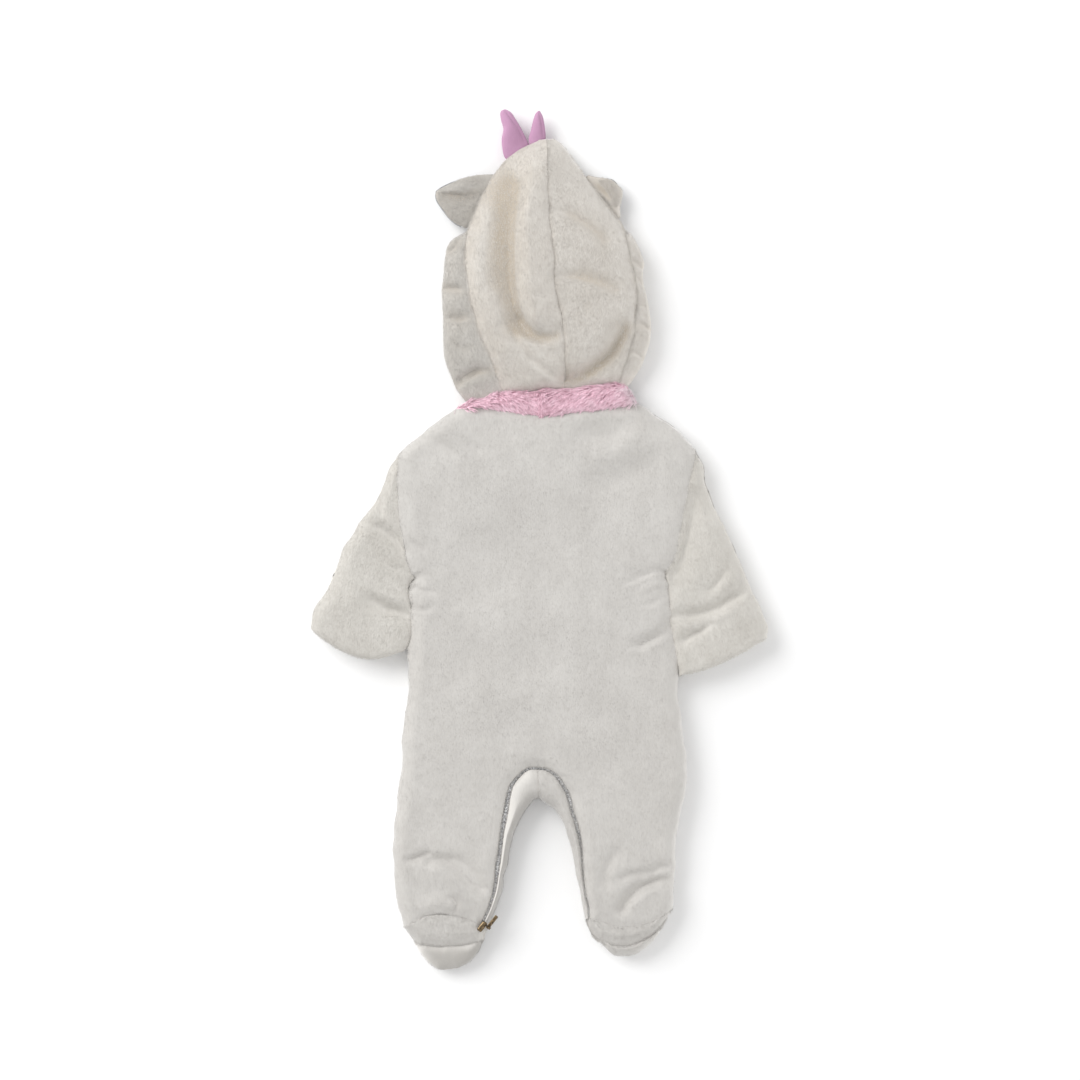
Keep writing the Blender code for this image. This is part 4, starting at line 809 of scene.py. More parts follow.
def leg_lines(leg, foot, side):
    """Outline, inner outline and zip edges of a leg, from the crotch to the ankle, and of its foot."""
    rows = slice(APEX, None, -1) if side < 0 else slice(APEX, None)
    ankle = type(foot[0])(*(getattr(leg, column)[-1] for column in EDGE_COLUMNS.split()))
    shape = smoothed([ankle] + foot)
    return {
        "outer": pairs(leg.outer_x, leg.outer_y), "inner": pairs(leg.inner_x, leg.inner_y), "sag": leg.sag,
        "back_edge": zip_out[rows], "front_edge": zip_in[rows],
        "foot_outer": pairs(shape.outer_x, shape.outer_y),
        "foot_inner": pairs(shape.inner_x, shape.inner_y), "foot_sag": shape.sag,
    }


legs = {-1: leg_lines(left_leg, LEFT_FOOT, -1), 1: leg_lines(right_leg, RIGHT_FOOT, 1)}


def sagging(outer, inner, sag, shares):
    """Rows from an outer to an inner line, whose middle is moved by the sag along Y."""
    return parabola(outer, (outer + inner) / 2 + pairs(0 * sag, sag), inner, shares)


def toe_seam(leg, shares):
    """Line where the sole meets the front's toe."""
    lines = (leg[key][STEPS:STEPS + 1] for key in ("foot_outer", "foot_inner", "foot_sag"))
    return sagging(*lines, shares)[0]


def heel_seam(leg, shares):
    """Line where the back's leg meets the sole."""
    return sagging(*(leg[key][-1:] for key in ("outer", "back_edge", "sag")), shares)[0]


def side_seams(side):
    """The seams and folds that one half of the body's top rounds down to."""
    outline, leg, shares = sides[side], legs[side], np.linspace(0, 1, 17)
    return [
        Seam(outline[:shoulder + 1], MID, SIDE_ROUND),
        Seam(outline[shoulder:underarm + 1], ARMHOLE_LEVEL, ARMHOLE_ROUND, SOFT),
        Seam(outline[underarm:], MID, SIDE_ROUND),
        Seam(leg["outer"], MID, SIDE_ROUND),
        Seam(leg["inner"], MID, SEAM_ROUND),
        Seam(np.concatenate([leg["foot_outer"], leg["foot_inner"][::-1]]), FOLD_LEVEL, SIDE_ROUND),
        Seam(heel_seam(leg, shares), HEEL_LEVEL, SEAM_ROUND, SOFT),
        Seam(toe_seam(leg, shares), TOE_LEVEL, SEAM_ROUND, SOFT),
    ]


SHARED_SEAMS = [
    Seam(along(NECK, np.linspace(0, 1, 33)), SEAM_LEVEL, SEAM_ROUND, SOFT),
    Seam(zip_line[::3], ZIP_LEVEL, SEAM_ROUND, SOFT),
]
BODY_SEAMS = {side: side_seams(side) + SHARED_SEAMS for side in SIDES}


def folded(plan, seams, share=1.0):
    """Height of the folds and creases on a panel, both fading at its seams."""
    distance = seam_distance(plan, seams)
    folds = share * risen(distance, FOLD_REACH) * fold_height(plan)
    return folds + risen(distance, CREASE_REACH) * crease_height(plan)


def body_top(plan, side):
    """Height of the body's upper side, with its folds, which are shallower on the lower legs."""
    seams = BODY_SEAMS[side]
    top = np.interp(plan[..., 1], LEVEL_Y, LEVEL_Z)
    share = np.interp(plan[..., 1], [-310, -280], [0.75, 1])
    return padded_height(plan, top, seams) + share * folded(plan, seams)


print("the body has", sum(len(seams) for seams in BODY_SEAMS.values()), "seam lines")

# %% [markdown]
# ## The back
# The largest panel runs from the neck to both heels, with the zip's curve cut out between the legs.
# Its rows follow the outline on the left and on the right, so the grid is finest at the edges, where
# the padding turns down to the side seam.

# %% The back panel
HALF_COLUMNS = 100
SWELL = 4.2


def trunk_half(side, middle, shares):
    """Plan of the trunk's rows from one side seam to the middle."""
    across = 0.5 * shares if side < 0 else 1 - 0.5 * shares
    return parabola(sides[-1], middle, sides[1], np.broadcast_to(across, (len(middle), len(across)))), across


def fading(plan, count):
    """1 for the first row of a plan, falling to 0 after a number of rows."""
    return np.interp(np.arange(len(plan)), [0, count], [1, 0])[:, None, None]


def hem_step(edge, neighbour, hem=HEM):
    """Step from an edge towards the points beside it: the hem, but at most to 0.8 of the way."""
    step = neighbour - edge
    return unit(step) * np.minimum(hem, 6 * np.linalg.norm(step, axis=-1, keepdims=True))


def hemmed(plan, edges):
    """The plan with some of its edge rows and columns moved in."""
    inner = plan.copy()
    if "start" in edges:
        inner[0] += hem_step(plan[0], plan[2])
    if "end" in edges:
        inner[-1] += hem_step(plan[-1], plan[-3])
    if "first" in edges:
        inner[:, 0] += hem_step(plan[:, 0], plan[:, 8])
    if "last" in edges:
        inner[:, -1] += hem_step(plan[:, -1], plan[:, -3])
    return inner


def straightened(lower, last, rows):
    """Rows of a leg that start with the trunk's last row and lose its bend over some rows of the table."""
    return lower + fading(lower, rows * STEPS) * (last - lower[0])


def back_half(side):
    """Outer and inner points of one half of the back."""
    leg, shares = legs[side], spread(HALF_COLUMNS)
    middle = trunk_middle.copy()
    middle[-1] = zip_out[APEX]
    upper, across = trunk_half(side, middle, shares)
    upper = upper + fading(upper, 2 * STEPS) * (along(NECK, across) - upper[0])
    lower = straightened(sagging(leg["outer"], leg["back_edge"], leg["sag"], shares), upper[-1], 2)
    plan = np.concatenate([upper, lower[1:]])
    height = np.maximum(body_top(plan, side), HEM_LEVEL)
    inner = hemmed(plan, ("start", "end", "first"))
    below = slice(len(middle) - 1, None)
    inner[below, -1] += hem_step(plan[below, -1], plan[below, -3])
    return Patch(points3(plan, height), points3(inner, MID + LAYERS_APART / 2))


def bulged(patch, side):
    """Below the underarm the padding swells out over the sleeve: SWELL * sin(pi * share of the height)."""
    points = patch.outer
    share = np.clip((points[..., 2] - MID) / 13, 0, 1)
    beside = np.clip((points[..., 1] + 128) / 20, 0, 1) * np.clip((-22 - points[..., 1]) / 20, 0, 1)
    near = np.clip(1 - nearest(points[..., :2], sides[side])[0] / 16, 0, 1)
    pucker = 1 + 0.5 * noise(points[..., 1] / 5, points[..., 2] / 9, 8)
    points[..., 0] += side * SWELL * np.sin(np.pi * share) * beside * near * pucker
    return patch


back_halves = [bulged(back_half(side), side) for side in SIDES]
for face in ("outer", "inner"):
    left_half, right_half = (getattr(half, face) for half in back_halves)
    right_half[:len(trunk_middle), -1] = left_half[:len(trunk_middle), -1]
back = sewn("back", "_panel", back_halves, "plush", plain_inside=True)
mark_painted_light_and_shade(back)

# %% [markdown]
# ## The fronts and the toes
# Each front lies on the floor. It turns up round the inner leg to the zip, and round the toes to the
# sole, so it is one wall of three patches: the floor side, the strip beside the zip and the cap of
# the toes.

# %% The two front panels
FRONT_STEPS = 3          # every third row of the shared lines is enough where only the floor sees it
FRONT_COLUMNS = 46
TOE_SHADE_Y = -383       # below this the left toes get painted shade


def front_rows(side):
    """Plan of a front's floor side: trunk rows, leg rows that straighten below the crotch, foot rows."""
    leg, shares = legs[side], spread(FRONT_COLUMNS, 0.8)
    middle = trunk_middle.copy()
    reach = (middle[:, 1] - middle[-1, 1]) / (middle[0, 1] - middle[-1, 1])
    middle[:, 1] = CROTCH[1] + reach * (FRONT_NECK_Y - CROTCH[1])
    middle[-1] = CROTCH
    upper = trunk_half(side, middle, shares)[0]
    lower = straightened(sagging(leg["outer"], leg["inner"], leg["sag"], shares), upper[-1], 5)
    upper[:, -1, 0] += side * GAP / 2
    foot = sagging(leg["foot_outer"], leg["foot_inner"], leg["foot_sag"], shares)
    plan = np.concatenate([upper, lower[1:], foot[1:]])
    return plan[::FRONT_STEPS], (len(middle) - 1) // FRONT_STEPS, (len(foot) - 1) // FRONT_STEPS


def floor_seams(side):
    """The seams that the floor side rounds up to."""
    outline, leg = sides[side], legs[side]
    around = np.concatenate([outline[underarm:], leg["outer"][1:], leg["foot_outer"][1:]])
    inside = np.concatenate([leg["inner"], leg["foot_inner"][1:]])
    return [
        Seam(outline[:shoulder + 1], MID, FLOOR_ROUND),
        Seam(outline[shoulder:underarm + 1], ARMHOLE_FLOOR, FLOOR_ROUND),
        Seam(around, MID, FLOOR_ROUND),
        Seam(inside, MID, FLOOR_ROUND),
    ]


def front_patches(side):
    """Floor side, strip to the zip and cap of the toes, each with its inner face."""
    leg = legs[side]
    plan, crotch_row, foot_rows = front_rows(side)
    height = np.minimum(padded_height(plan, 0.0, floor_seams(side)), MID - GAP / 2)
    height[crotch_row:, -1] = height[-1] = height[-foot_rows:, 0] = FOLD_LEVEL
    fold_line = plan[crotch_row:-foot_rows, -1]
    edge = leg["front_edge"][::FRONT_STEPS].copy()
    edge[0, 0] += side * GAP / 2
    across = edge - fold_line
    shares = spread(20, 0.8)[:, None]
    strip = fold_line[:, None] + across[:, None] * shares
    strip_height = np.maximum(body_top(strip, side), FOLD_LEVEL)
    strip_height[:, 0] = FOLD_LEVEL
    width = np.linalg.norm(across, axis=1, keepdims=True)
    hem = np.minimum(HEM, 0.3 * width)
    start = fold_line + unit(across) * hem
    lining = start[:, None] + (unit(across) * (width - 2 * hem))[:, None] * shares
    wrap = Patch(points3(strip, strip_height), points3(lining, MID + LAYERS_APART / 2))
    inner = hemmed(plan, ("start", "end", "first"))
    inner[-foot_rows:, -1] += hem_step(plan[-foot_rows:, -1], plan[-foot_rows:, -3])
    inner[crotch_row:-foot_rows, -1] = start
    under = Patch(points3(plan, height), points3(inner, MID - LAYERS_APART / 2))
    toe = plan[-foot_rows + STEPS // FRONT_STEPS - 1:]
    toe_height = np.maximum(body_top(toe, side), FOLD_LEVEL)
    toe_height[-1] = toe_height[:, 0] = toe_height[:, -1] = FOLD_LEVEL
    toe_inner = np.clip(toe_height - 1, MID - LAYERS_APART / 2 + GAP, MID + LAYERS_APART / 2)
    cap = Patch(points3(toe, toe_height), points3(hemmed(toe, ("start", "end", "first", "last")), toe_inner))
    return [under, wrap, cap]


fronts = {}
for side in SIDES:
    fronts[side] = sewn("front_" + NAMES[side], "_panel", front_patches(side), "plush", tucked=TUCKED_IN)
    # Painted shade on the left toes, below TOE_SHADE_Y
    toe_shade = np.clip((TOE_SHADE_Y - vertex_data(fronts[side])[0][:, 1]) / 8, 0, 1)
    mark_painted_light_and_shade(fronts[side], 0.6 * toe_shade * (side < 0))

# %% [markdown]
# ## The soles
# Between the heel seam and the toe seam the foot shows its sole, a short padded panel that is wider
# than it is long.

# %% The two soles
def sole_patch(side):
    """The sole between the heel seam, the inner ankle and the toe seam."""
    leg, shares = legs[side], spread(70, 0.8)
    towards = unit(leg["foot_inner"][STEPS // 2:STEPS // 2 + 1] - leg["inner"][-1:])
    ankle = leg["inner"][-1:] + towards * 2 * GAP
    heel = np.concatenate([heel_seam(leg, shares), ankle])
    toe = toe_seam(leg, np.append(TOE_END * shares, 1))
    heel[:-1, 1] -= EDGE_GAP
    rows = np.linspace(0, 1, 22)[:, None, None]
    plan = heel * (1 - rows) + (toe - GAP * unit(toe - heel)) * rows
    height = np.maximum(body_top(plan, side), HEM_LEVEL)
    inner = hemmed(plan, ("start", "end", "first", "last"))
    return Patch(points3(plan, height), points3(inner, MID + LAYERS_APART / 2))


soles = {}
for side in SIDES:
    soles[side] = sewn("sole_" + NAMES[side], "_panel", [sole_patch(side)], "plush", plain_inside=True)
    mark_painted_light_and_shade(soles[side])

# %% [markdown]
# ## The sleeves
# A sleeve is one tube, pressed flat. Its upper and its lower face share both outlines, so the two
# patches weld into a tube that is open at the armhole and at the cuff.

# %% The two sleeves
def sleeve_patches(side):
    """Upper and lower face of a sleeve; the first row follows the armhole."""
    rows, shares = smoothed(LEFT_SLEEVE if side < 0 else RIGHT_SLEEVE, 10), spread(76, 0.75, 0.75)
    outer, inner = pairs(rows.outer_x, rows.outer_y), pairs(rows.inner_x, rows.inner_y)
    armhole = along(sides[side][shoulder:underarm + 1], shares)
    armhole = armhole + side * normals(armhole) * EDGE_GAP
    plan = sagging(outer, inner, rows.sag, shares)
    plan = plan + fading(plan, 30) * (armhole - plan[0])
    tuck = np.linspace(0, 1, len(plan))[:, None] * np.linspace(0, 1, plan.shape[1]) ** 2
    plan[..., 0] -= side * (TUCKED if side > 0 else 0.4 * TUCKED) * tuck
    outer, inner, cuff = plan[:, 0], plan[:, -1], plan[-1]
    seams = [
        Seam(outer, MID, SIDE_ROUND),
        Seam(inner, SLEEVE_INNER, SLEEVE_ROUND),
        Seam(armhole, ARMHOLE_LEVEL, ARMHOLE_ROUND, SOFT),
        Seam(cuff, SLEEVE_TOP - CUFF_DIP, CUFF_ROUND),
    ]
    height = padded_height(plan, SLEEVE_TOP, seams) + 0.7 * folded(plan, seams)
    floor = padded_height(plan, 0.0, [
        Seam(outer, MID, FLOOR_ROUND),
        Seam(inner, MID, FLOOR_ROUND),
        Seam(armhole, ARMHOLE_FLOOR, SEAM_ROUND),
    ])
    for edge in (height, floor):
        edge[:, 0], edge[:, -1] = MID, SLEEVE_INNER
    lining = hemmed(plan, ("first",))
    lining[:, -1] += hem_step(plan[:, -1], plan[:, -9])
    return [
        Patch(points3(plan, height), points3(lining, MID + LAYERS_APART / 2)),
        Patch(points3(plan, floor), points3(lining, MID - LAYERS_APART / 2)),
    ]


sleeves = {}
for side in SIDES:
    sleeves[side] = sewn("sleeve_" + NAMES[side], "_tube", sleeve_patches(side), "plush", tucked=TUCKED_IN)
    mark_painted_light_and_shade(sleeves[side])

# %% [markdown]
# ## The hood
# Two back panels meet in a centre seam, and two side panels run from them round the edge and under to
# the face opening. The empty hood stands up as a shallow arch and falls into folds, and those folds
# are what shows most, so they are the largest entries of the table.

# %% Lines of the hood
HOOD_STEPS = 14
FOLD_SHARE = 0.85       # share of the folds' height that the hood's soft cloth keeps
PAINTED_SHADE_DEPTH = 7.0            # depth in mm of a fold at which its painted shade is darkest
hood = smoothed(HOOD, HOOD_STEPS)
hood_rows = np.arange(len(hood.top)) / HOOD_STEPS
hood_middle = pairs(hood.middle_x, hood.middle_y)
hood_seam = {-1: pairs(hood.left_x, hood.left_y), 1: pairs(hood.right_x, hood.right_y)}
hood_outline = {
    -1: pairs(hood.outline_left_x, hood.outline_left_y),
    1: pairs(hood.outline_right_x, hood.outline_right_y),
}
hood_level = {-1: hood.left_level, 1: hood.right_level}
print("the hood is", round(float(hood_middle[-1, 1] - hood_middle[0, 1])), "mm long")

# %% The two back panels of the hood
def hood_seams(side):
    """Outer seam, neck, peak and centre seam of a back panel."""
    seam, level = hood_seam[side], hood_level[side]
    return [
        Seam(seam, level, HOOD_ROUND, 0.7),
        Seam(np.stack([seam[0], hood_middle[0]]), level[0], SEAM_ROUND, SOFT),
        Seam(np.stack([seam[-1], hood_middle[-1]]), level[-1], SIDE_ROUND),
        Seam(hood_middle, hood.top - CENTRE_DIP, CENTRE_ROUND, SOFT),
    ]


def hood_back_patch(side):
    """Outer face with its folds, and the inner face one wall below it."""
    inward = unit(hood_middle - hood_seam[side])
    edge = hood_seam[side] + inward * GAP
    centre = hood_middle - inward * GAP / 2
    shares = spread(94, 0.8)[:, None]
    plan = edge[:, None] + (centre - edge)[:, None] * shares
    seams = hood_seams(side)
    height = padded_height(plan, hood.top[:, None], seams)
    height = softened(height + folded(plan, seams[:3], FOLD_SHARE), 4)
    start = edge + inward * HOOD_INSET
    inner = hemmed(start[:, None] + (centre - start)[:, None] * shares, ("start", "end"))
    under = hood_level[side] + np.interp(hood_rows, [SIDE_END_ROW, SIDE_END_ROW + 1], [-HOOD_WALL, HEM_RISE])
    return Patch(points3(plan, height), points3(inner, np.maximum(height - HOOD_WALL, under[:, None])))


hood_backs = {}
for side in SIDES:
    hood_backs[side] = sewn("hood_back_" + NAMES[side], "_panel", [hood_back_patch(side)], "hood_plush")
    # Painted shade in the hollows of the folds, and on slopes that face the light
    mark_painted_light_and_shade(hood_backs[side], np.clip(-folds_at(hood_backs[side]) / PAINTED_SHADE_DEPTH, 0, 1), 0, 0.45)

# %% [markdown]
# A side panel's section is an arch from the seam to the outline, a round turn under it, and a flat
# strip on the floor up to the face opening. Sine and cosine of one angle give the arch and the turn.

# %% The two side panels of the hood
def side_sections(side):
    """Outer and inner sections of a side panel for every row: arch, turn and floor strip."""
    rows = slice(0, -HOOD_STEPS)
    place = hood_rows[rows]
    tucked = [SIDE_END_ROW + 0.5, SIDE_END_ROW + 1]
    inward = unit(hood_middle - hood_seam[side])[rows]
    outline = hood_outline[side][rows] + inward * np.interp(place, tucked, [0, FLAP_INSET])[:, None]
    seam = hood_seam[side][rows] + inward * np.interp(place, tucked, [0, 3 * FLAP_INSET])[:, None]
    lowered = np.interp(place, [SIDE_END_ROW] + tucked, [hood.top.max(), TUCK_LEVEL, FLAP_LEVEL])
    level = np.minimum(hood_level[side][rows], lowered)
    thick = np.interp(place, [SIDE_END_ROW, SIDE_END_ROW + 1], [HOOD_WALL, FLAP_WALL])
    middle = hood_middle[rows] - outline
    reach = np.minimum(FACE_REACH, np.linalg.norm(middle, axis=1) - GAP / 2)
    bend = np.minimum(SIDE_BEND, BEND_SHARE * level)
    over = seam - outline
    width = np.linalg.norm(over, axis=1)
    level, bend, thick, reach, width = (value[:, None] for value in (level, bend, thick, reach, width))
    down, turn = np.radians(np.linspace(0, 90, 17))[:-1], np.radians(np.linspace(0, 90, 12))
    floor_shares = np.linspace(0, 1, 12)[1:]

    def section(share_over, height_over, start, height_under, floor):
        """One row's points: along the arch, round the turn and along the floor."""
        arch = outline[:, None] + over[:, None] * share_over[..., None]
        base = outline[:, None] + unit(middle)[:, None] * start[..., None]
        flat = outline[:, None] + unit(middle)[:, None] * floor[..., None]
        return np.concatenate([
            points3(arch, height_over),
            points3(base, height_under),
            points3(flat, floor * 0 + height_under[:, -1:]),
        ], axis=1)

    arched = outline[:, None] + over[:, None] * (1 - np.sin(down))[:, None]
    folds = fold_height(arched) + crease_height(arched)
    outer = section(
        1 - np.sin(down) + 0 * level,
        bend + (level - bend) * np.cos(down) + folds * np.sin(2 * down),
        bend * (1 - np.cos(turn)),
        bend * (1 - np.sin(turn)),
        bend + (reach - bend) * floor_shares,
    )
    inner = section(
        1 - np.sin(down) * (1 - thick / width),
        bend + (level - thick - bend) * np.cos(down),
        thick + np.maximum(bend - thick, 0.5) * (1 - np.cos(turn)),
        thick + np.maximum(bend - thick, 0) * (1 - np.sin(turn)),
        bend + 0.5 + (reach - bend - 0.5) * floor_shares,
    )
    return Patch(outer, inner)


hood_sides = {}
for side in SIDES:
    hood_sides[side] = sewn("hood_side_" + NAMES[side], "_panel", [side_sections(side)], "hood_plush")
    # Painted shade in the hollows of the folds
    mark_painted_light_and_shade(hood_sides[side], 0.6 * np.clip(-folds_at(hood_sides[side]) / PAINTED_SHADE_DEPTH, 0, 1))

# %% [markdown]
# ## The collar
# A band of long pink pile hides the seam between the hood and the body. Its cloth is a low cushion
# between the two, and the pile itself comes later as thousands of long locks.

# %% The collar's cloth
def collar_lines(count):
    """Lower and upper edge of the collar, from left to right."""
    shares = np.linspace(0, 1, count)
    lower = along(NECK, shares) + np.array([0, GAP])
    corners = [hood_outline[-1][0], hood_seam[-1][0], hood_middle[0], hood_seam[1][0], hood_outline[1][0]]
    return lower, along(np.array(corners), shares) - np.array([0, COLLAR_GAP])


def collar_patch():
    """A low cushion between the neck seam and the hood."""
    lower, upper = collar_lines(120)
    plan = lower + (upper - lower) * np.linspace(0, 1, 24)[:, None, None]
    ends = [Seam(plan[:, k], HEM_LEVEL, SEAM_ROUND) for k in (0, -1)]
    seams = ends + [Seam(lower, SEAM_LEVEL, COLLAR_ROUND), Seam(upper, hood.left_level[0], COLLAR_ROUND)]
    inner = hemmed(plan, ("start", "end", "first", "last"))
    top = padded_height(plan, COLLAR_TOP, seams)
    return Patch(points3(plan, top), points3(inner, MID + LAYERS_APART / 2))


collar = sewn("collar", "_band", [collar_patch()], "collar_pile", 1.5, plain_inside=True)

# %% [markdown]
# ## Ears and crest
# Ears and crest points are stuffed leaves: two equal pieces sewn edge to edge and turned. Across a
# leaf the thickness follows half an ellipse, and it shrinks to a point at the tip.

# %% Leaves
def leaf_patch(table_rows, steps=5, columns=26, edge=0.12):
    """Upper and lower face of a leaf: level +- half * sqrt(1 - (2s - 1)^2)."""
    rows = smoothed(table_rows, steps)
    first, second = pairs(rows.first_x, rows.first_y), pairs(rows.second_x, rows.second_y)
    angle = np.linspace(0, np.pi, columns)
    shares = 0.5 - 0.5 * np.cos(angle)
    plan = first[:, None] + (second - first)[:, None] * shares[:, None]
    half = rows.half[:, None] * np.maximum(np.sin(angle), edge)
    level = rows.level[:, None]
    top = level + half + np.sin(angle) * crease_height(plan)
    return Patch(points3(plan, top), points3(plan, level - half))


EARS, CRESTS = {-1: EAR_LEFT, 1: EAR_RIGHT}, {-1: CREST_LEFT, 1: CREST_RIGHT}
ears, crests = {}, {}
for side in SIDES:
    ears[side] = sewn("ear_" + NAMES[side], "_leaf", [leaf_patch(EARS[side])], "hood_plush", 0.7)
    # Painted shade on the whole ear, darker in the grooves of its creases
    mark_painted_light_and_shade(ears[side], np.clip(0.25 - crease_height(vertex_data(ears[side])[0][:, :2]) / 5, 0, 1))
for side in SIDES:
    name = "crest_" + NAMES[side]
    crests[side] = report(wall(name + "_point", [leaf_patch(CRESTS[side], 6, 30)], "crest_velvet", [name]))


# %% The ears' linings
LINING_RIM, LINING_DROP = 0.7, 0.6      # out at its rim, and down from the ear


def lining_patch(side):
    """The cloth under an ear: the leaf's lower face without its root, moved down, and out at its rim."""
    lower = leaf_patch(EARS[side]).inner[10:]
    middle = lower.mean(axis=1, keepdims=True)
    at_edge = np.zeros(lower.shape[1])
    at_edge[[0, -1]] = LINING_RIM
    outward = unit((lower - middle)[..., :2]) * at_edge[:, None]
    outer = lower + points3(outward, -LINING_DROP - at_edge)
    return Patch(outer, outer - np.array([0, 0, 1.0]))


linings = {}
for side in SIDES:
    name = "ear_lining_" + NAMES[side]
    linings[side] = report(wall(name + "_cloth", [lining_patch(side)], "ear_lining", [name]))

# %% [markdown]
# ## The zip
# The zip is one line from ankle to ankle. A woven tape carries two rows of teeth that sit in each
# other's gaps, so one small tooth is repeated along the line, first on one side and then on the other.

# %% Tape and teeth
TAPE_DIP, TAPE_CROWN, TAPE_THICK = 0.8, 0.5, 2.2
TOOTH_PITCH, TOOTH_HEIGHT = 1.5, 1.35
TOOTH_TAPER = 0.22      # share by which a tooth's top is smaller than its foot
TOOTH_PLAN = ((-0.25, -0.42), (0.72, -0.3), (0.72, 0.3), (-0.25, 0.42))     # out, and ahead
zip_level = np.concatenate([body_top(zip_line[:APEX + 1], -1), body_top(zip_line[APEX + 1:], 1)]) - TAPE_DIP
shares = np.linspace(-1, 1, 7)[:, None]
tape_plan = wobbled(zip_line[:, None] + (normals(zip_line) * zip_half)[:, None] * shares)
tape_height = zip_level[:, None] + TAPE_CROWN * (1 - shares[:, 0] ** 2)
tape_faces = Patch(points3(tape_plan, tape_height), points3(tape_plan, tape_height - TAPE_THICK))
tape = report(wall("zip_tape_strip", [tape_faces], "zip", ["zip_tape"]))


def zip_teeth():
    """Teeth as small tapered blocks: place along the line, then out by a share of the zip's half width."""
    length = np.concatenate([[0], np.cumsum(np.linalg.norm(np.diff(zip_line, axis=0), axis=1))])
    places = np.arange(1.0, length[-1] - 1.0, TOOTH_PITCH / 2)
    lines = (*zip_line.T, zip_level + 0.45, zip_half[:, 0])
    x, y, level, half = (np.interp(places, length, line) for line in lines)
    at, half = pairs(x, y), np.maximum(half, 0.9)
    out = normals(at) * np.where(np.arange(len(at)) % 2, 1, -1)[:, None]
    ahead = pairs(out[:, 1], -out[:, 0])
    block = np.array([(*corner, top) for top in (0, 1) for corner in TOOTH_PLAN])
    plan = at[:, None] + out[:, None] * half[:, None, None] * block[:, :1]
    plan = plan + ahead[:, None] * TOOTH_PITCH * block[:, 1:2] * 0.8
    plan = plan - (plan - plan.mean(1, keepdims=True)) * TOOTH_TAPER * block[:, 2:]
    height = level[:, None] - 0.5 + block[:, 2] * TOOTH_HEIGHT
    corners = np.array([(0, 1, 2, 3), (4, 7, 6, 5), (0, 4, 5, 1), (1, 5, 6, 2), (2, 6, 7, 3), (3, 7, 4, 0)])
    faces = (np.arange(len(at)) * 8)[:, None, None] + corners
    return points3(wobbled(plan), height).reshape(-1, 3), faces.reshape(-1, 4).tolist()


teeth = join_faces("zip_teeth", *zip_teeth(), "zip")
turn_outward(teeth)
teeth.data.set_sharp_from_angle(angle=np.radians(30))
report(teeth)


# %% [markdown]
# ## Tufts of pile
# A bump in the shader can't change an outline, so plush looks like plaster at its edges. Real pile
# stands out there. So thousands of small closed spikes grow from random points of the cloth, all
# combed the same way with a little disorder. Each one has four faces, or more for long pile.

# %% Grow tufts
TUFT_LENGTH, TUFT_WIDTH = 2.8, 0.44
DISORDER = 0.33         # spread of the tufts' directions, set against the comb's 1
SUNK = 0.15             # how far a tuft starts below the cloth
FLATNESS = 0.25         # a tuft's thickness, set against its width
FUZZ = {}               # each panel's pile, by the panel's name


def roots_on(piece, count, seed, lowest=15.2, facing=0.0, rim=8.0):
    """Random points and normals where a piece shows; triangles are drawn by their area.

    They lie above the lowest height and face up, or above the rim's height and face sideways."""
    mesh = piece.data
    mesh.calc_loop_triangles()
    corners = np.empty(len(mesh.loop_triangles) * 3, np.int32)
    mesh.loop_triangles.foreach_get("vertices", corners)
    points, normal = vertex_data(piece)
    corners = corners.reshape(-1, 3)
    centre, out = points[corners].mean(1), unit(normal[corners].sum(1))
    on_top = (centre[:, 2] > lowest) & (out[:, 2] > facing)
    corners = corners[on_top | (centre[:, 2] > rim) & (np.abs(out[:, 2]) < 0.35)]
    first, second, third = (points[corners[:, k]] for k in range(3))
    area = np.linalg.norm(np.cross(second - first, third - first), axis=1)
    draw = np.random.default_rng(seed)
    chosen = corners[draw.choice(len(corners), count, p=area / area.sum())]
    weight = draw.dirichlet((1, 1, 1), count)[..., None]
    return (points[chosen] * weight).sum(1), unit((normal[chosen] * weight).sum(1))


def tufts(name, roots, normal, comb, length, width, slot_name, seed, rise, rings=1, disorder=DISORDER):
    """Spikes along root + length * (t * lean + rise * t(1 - t/2) * normal), t from 0 to 1, to a thin tip."""
    draw = np.random.default_rng(seed)
    count = len(roots)
    turned = np.asarray(comb, float) + draw.normal(0, disorder, (count, 3))
    lean = unit(turned - normal * (turned * normal).sum(1, keepdims=True))
    across = np.cross(normal, lean)
    size = length * draw.uniform(0.6, 1.3, (count, 1))
    t = np.arange(rings) / rings
    centre = roots[:, None] - SUNK * normal[:, None] + size[:, None] * (
        t[:, None] * lean[:, None] + (rise * t * (1 - t / 2))[:, None] * normal[:, None])
    radius = 0.5 * width * np.where(rings > 1, 0.55 + 0.9 * t * (1 - t), 1 - t)
    angle = np.radians([90, 210, 330])
    ring = across[:, None, None] * np.cos(angle)[:, None]
    ring = ring + normal[:, None, None] * (FLATNESS * np.sin(angle))[:, None]
    body = centre[:, :, None] + ring * radius[:, None, None]
    tip = roots + size * (lean + 0.5 * rise * normal)
    points = np.concatenate([body.reshape(count, -1, 3), tip[:, None]], axis=1)
    each = rings * 3 + 1
    faces = [(0, 2, 1)]
    for k in range(rings - 1):
        faces += [(3 * k + a, 3 * k + b, 3 * k + b + 3) for a, b in ((0, 1), (1, 2), (2, 0))]
        faces += [(3 * k + a, 3 * k + b + 3, 3 * k + a + 3) for a, b in ((0, 1), (1, 2), (2, 0))]
    last = 3 * rings - 3
    faces += [(last + a, last + b, each - 1) for a, b in ((0, 1), (1, 2), (2, 0))]
    faces = (np.arange(count) * each)[:, None, None] + np.array(faces)
    points[..., 2] = np.maximum(points[..., 2], 0.1)
    made = join_faces(name, points.reshape(-1, 3), faces.reshape(-1, 3).tolist(), slot_name)
    made.data.shade_flat()
    mark(made, "tone", np.repeat(draw.uniform(-1, 1, count), each))
    # painted light on tufts whose roots face the lower right, away from the key light
    mark(made, "pale", np.repeat(painted_light_share(roots, normal), each))
    return report(made)


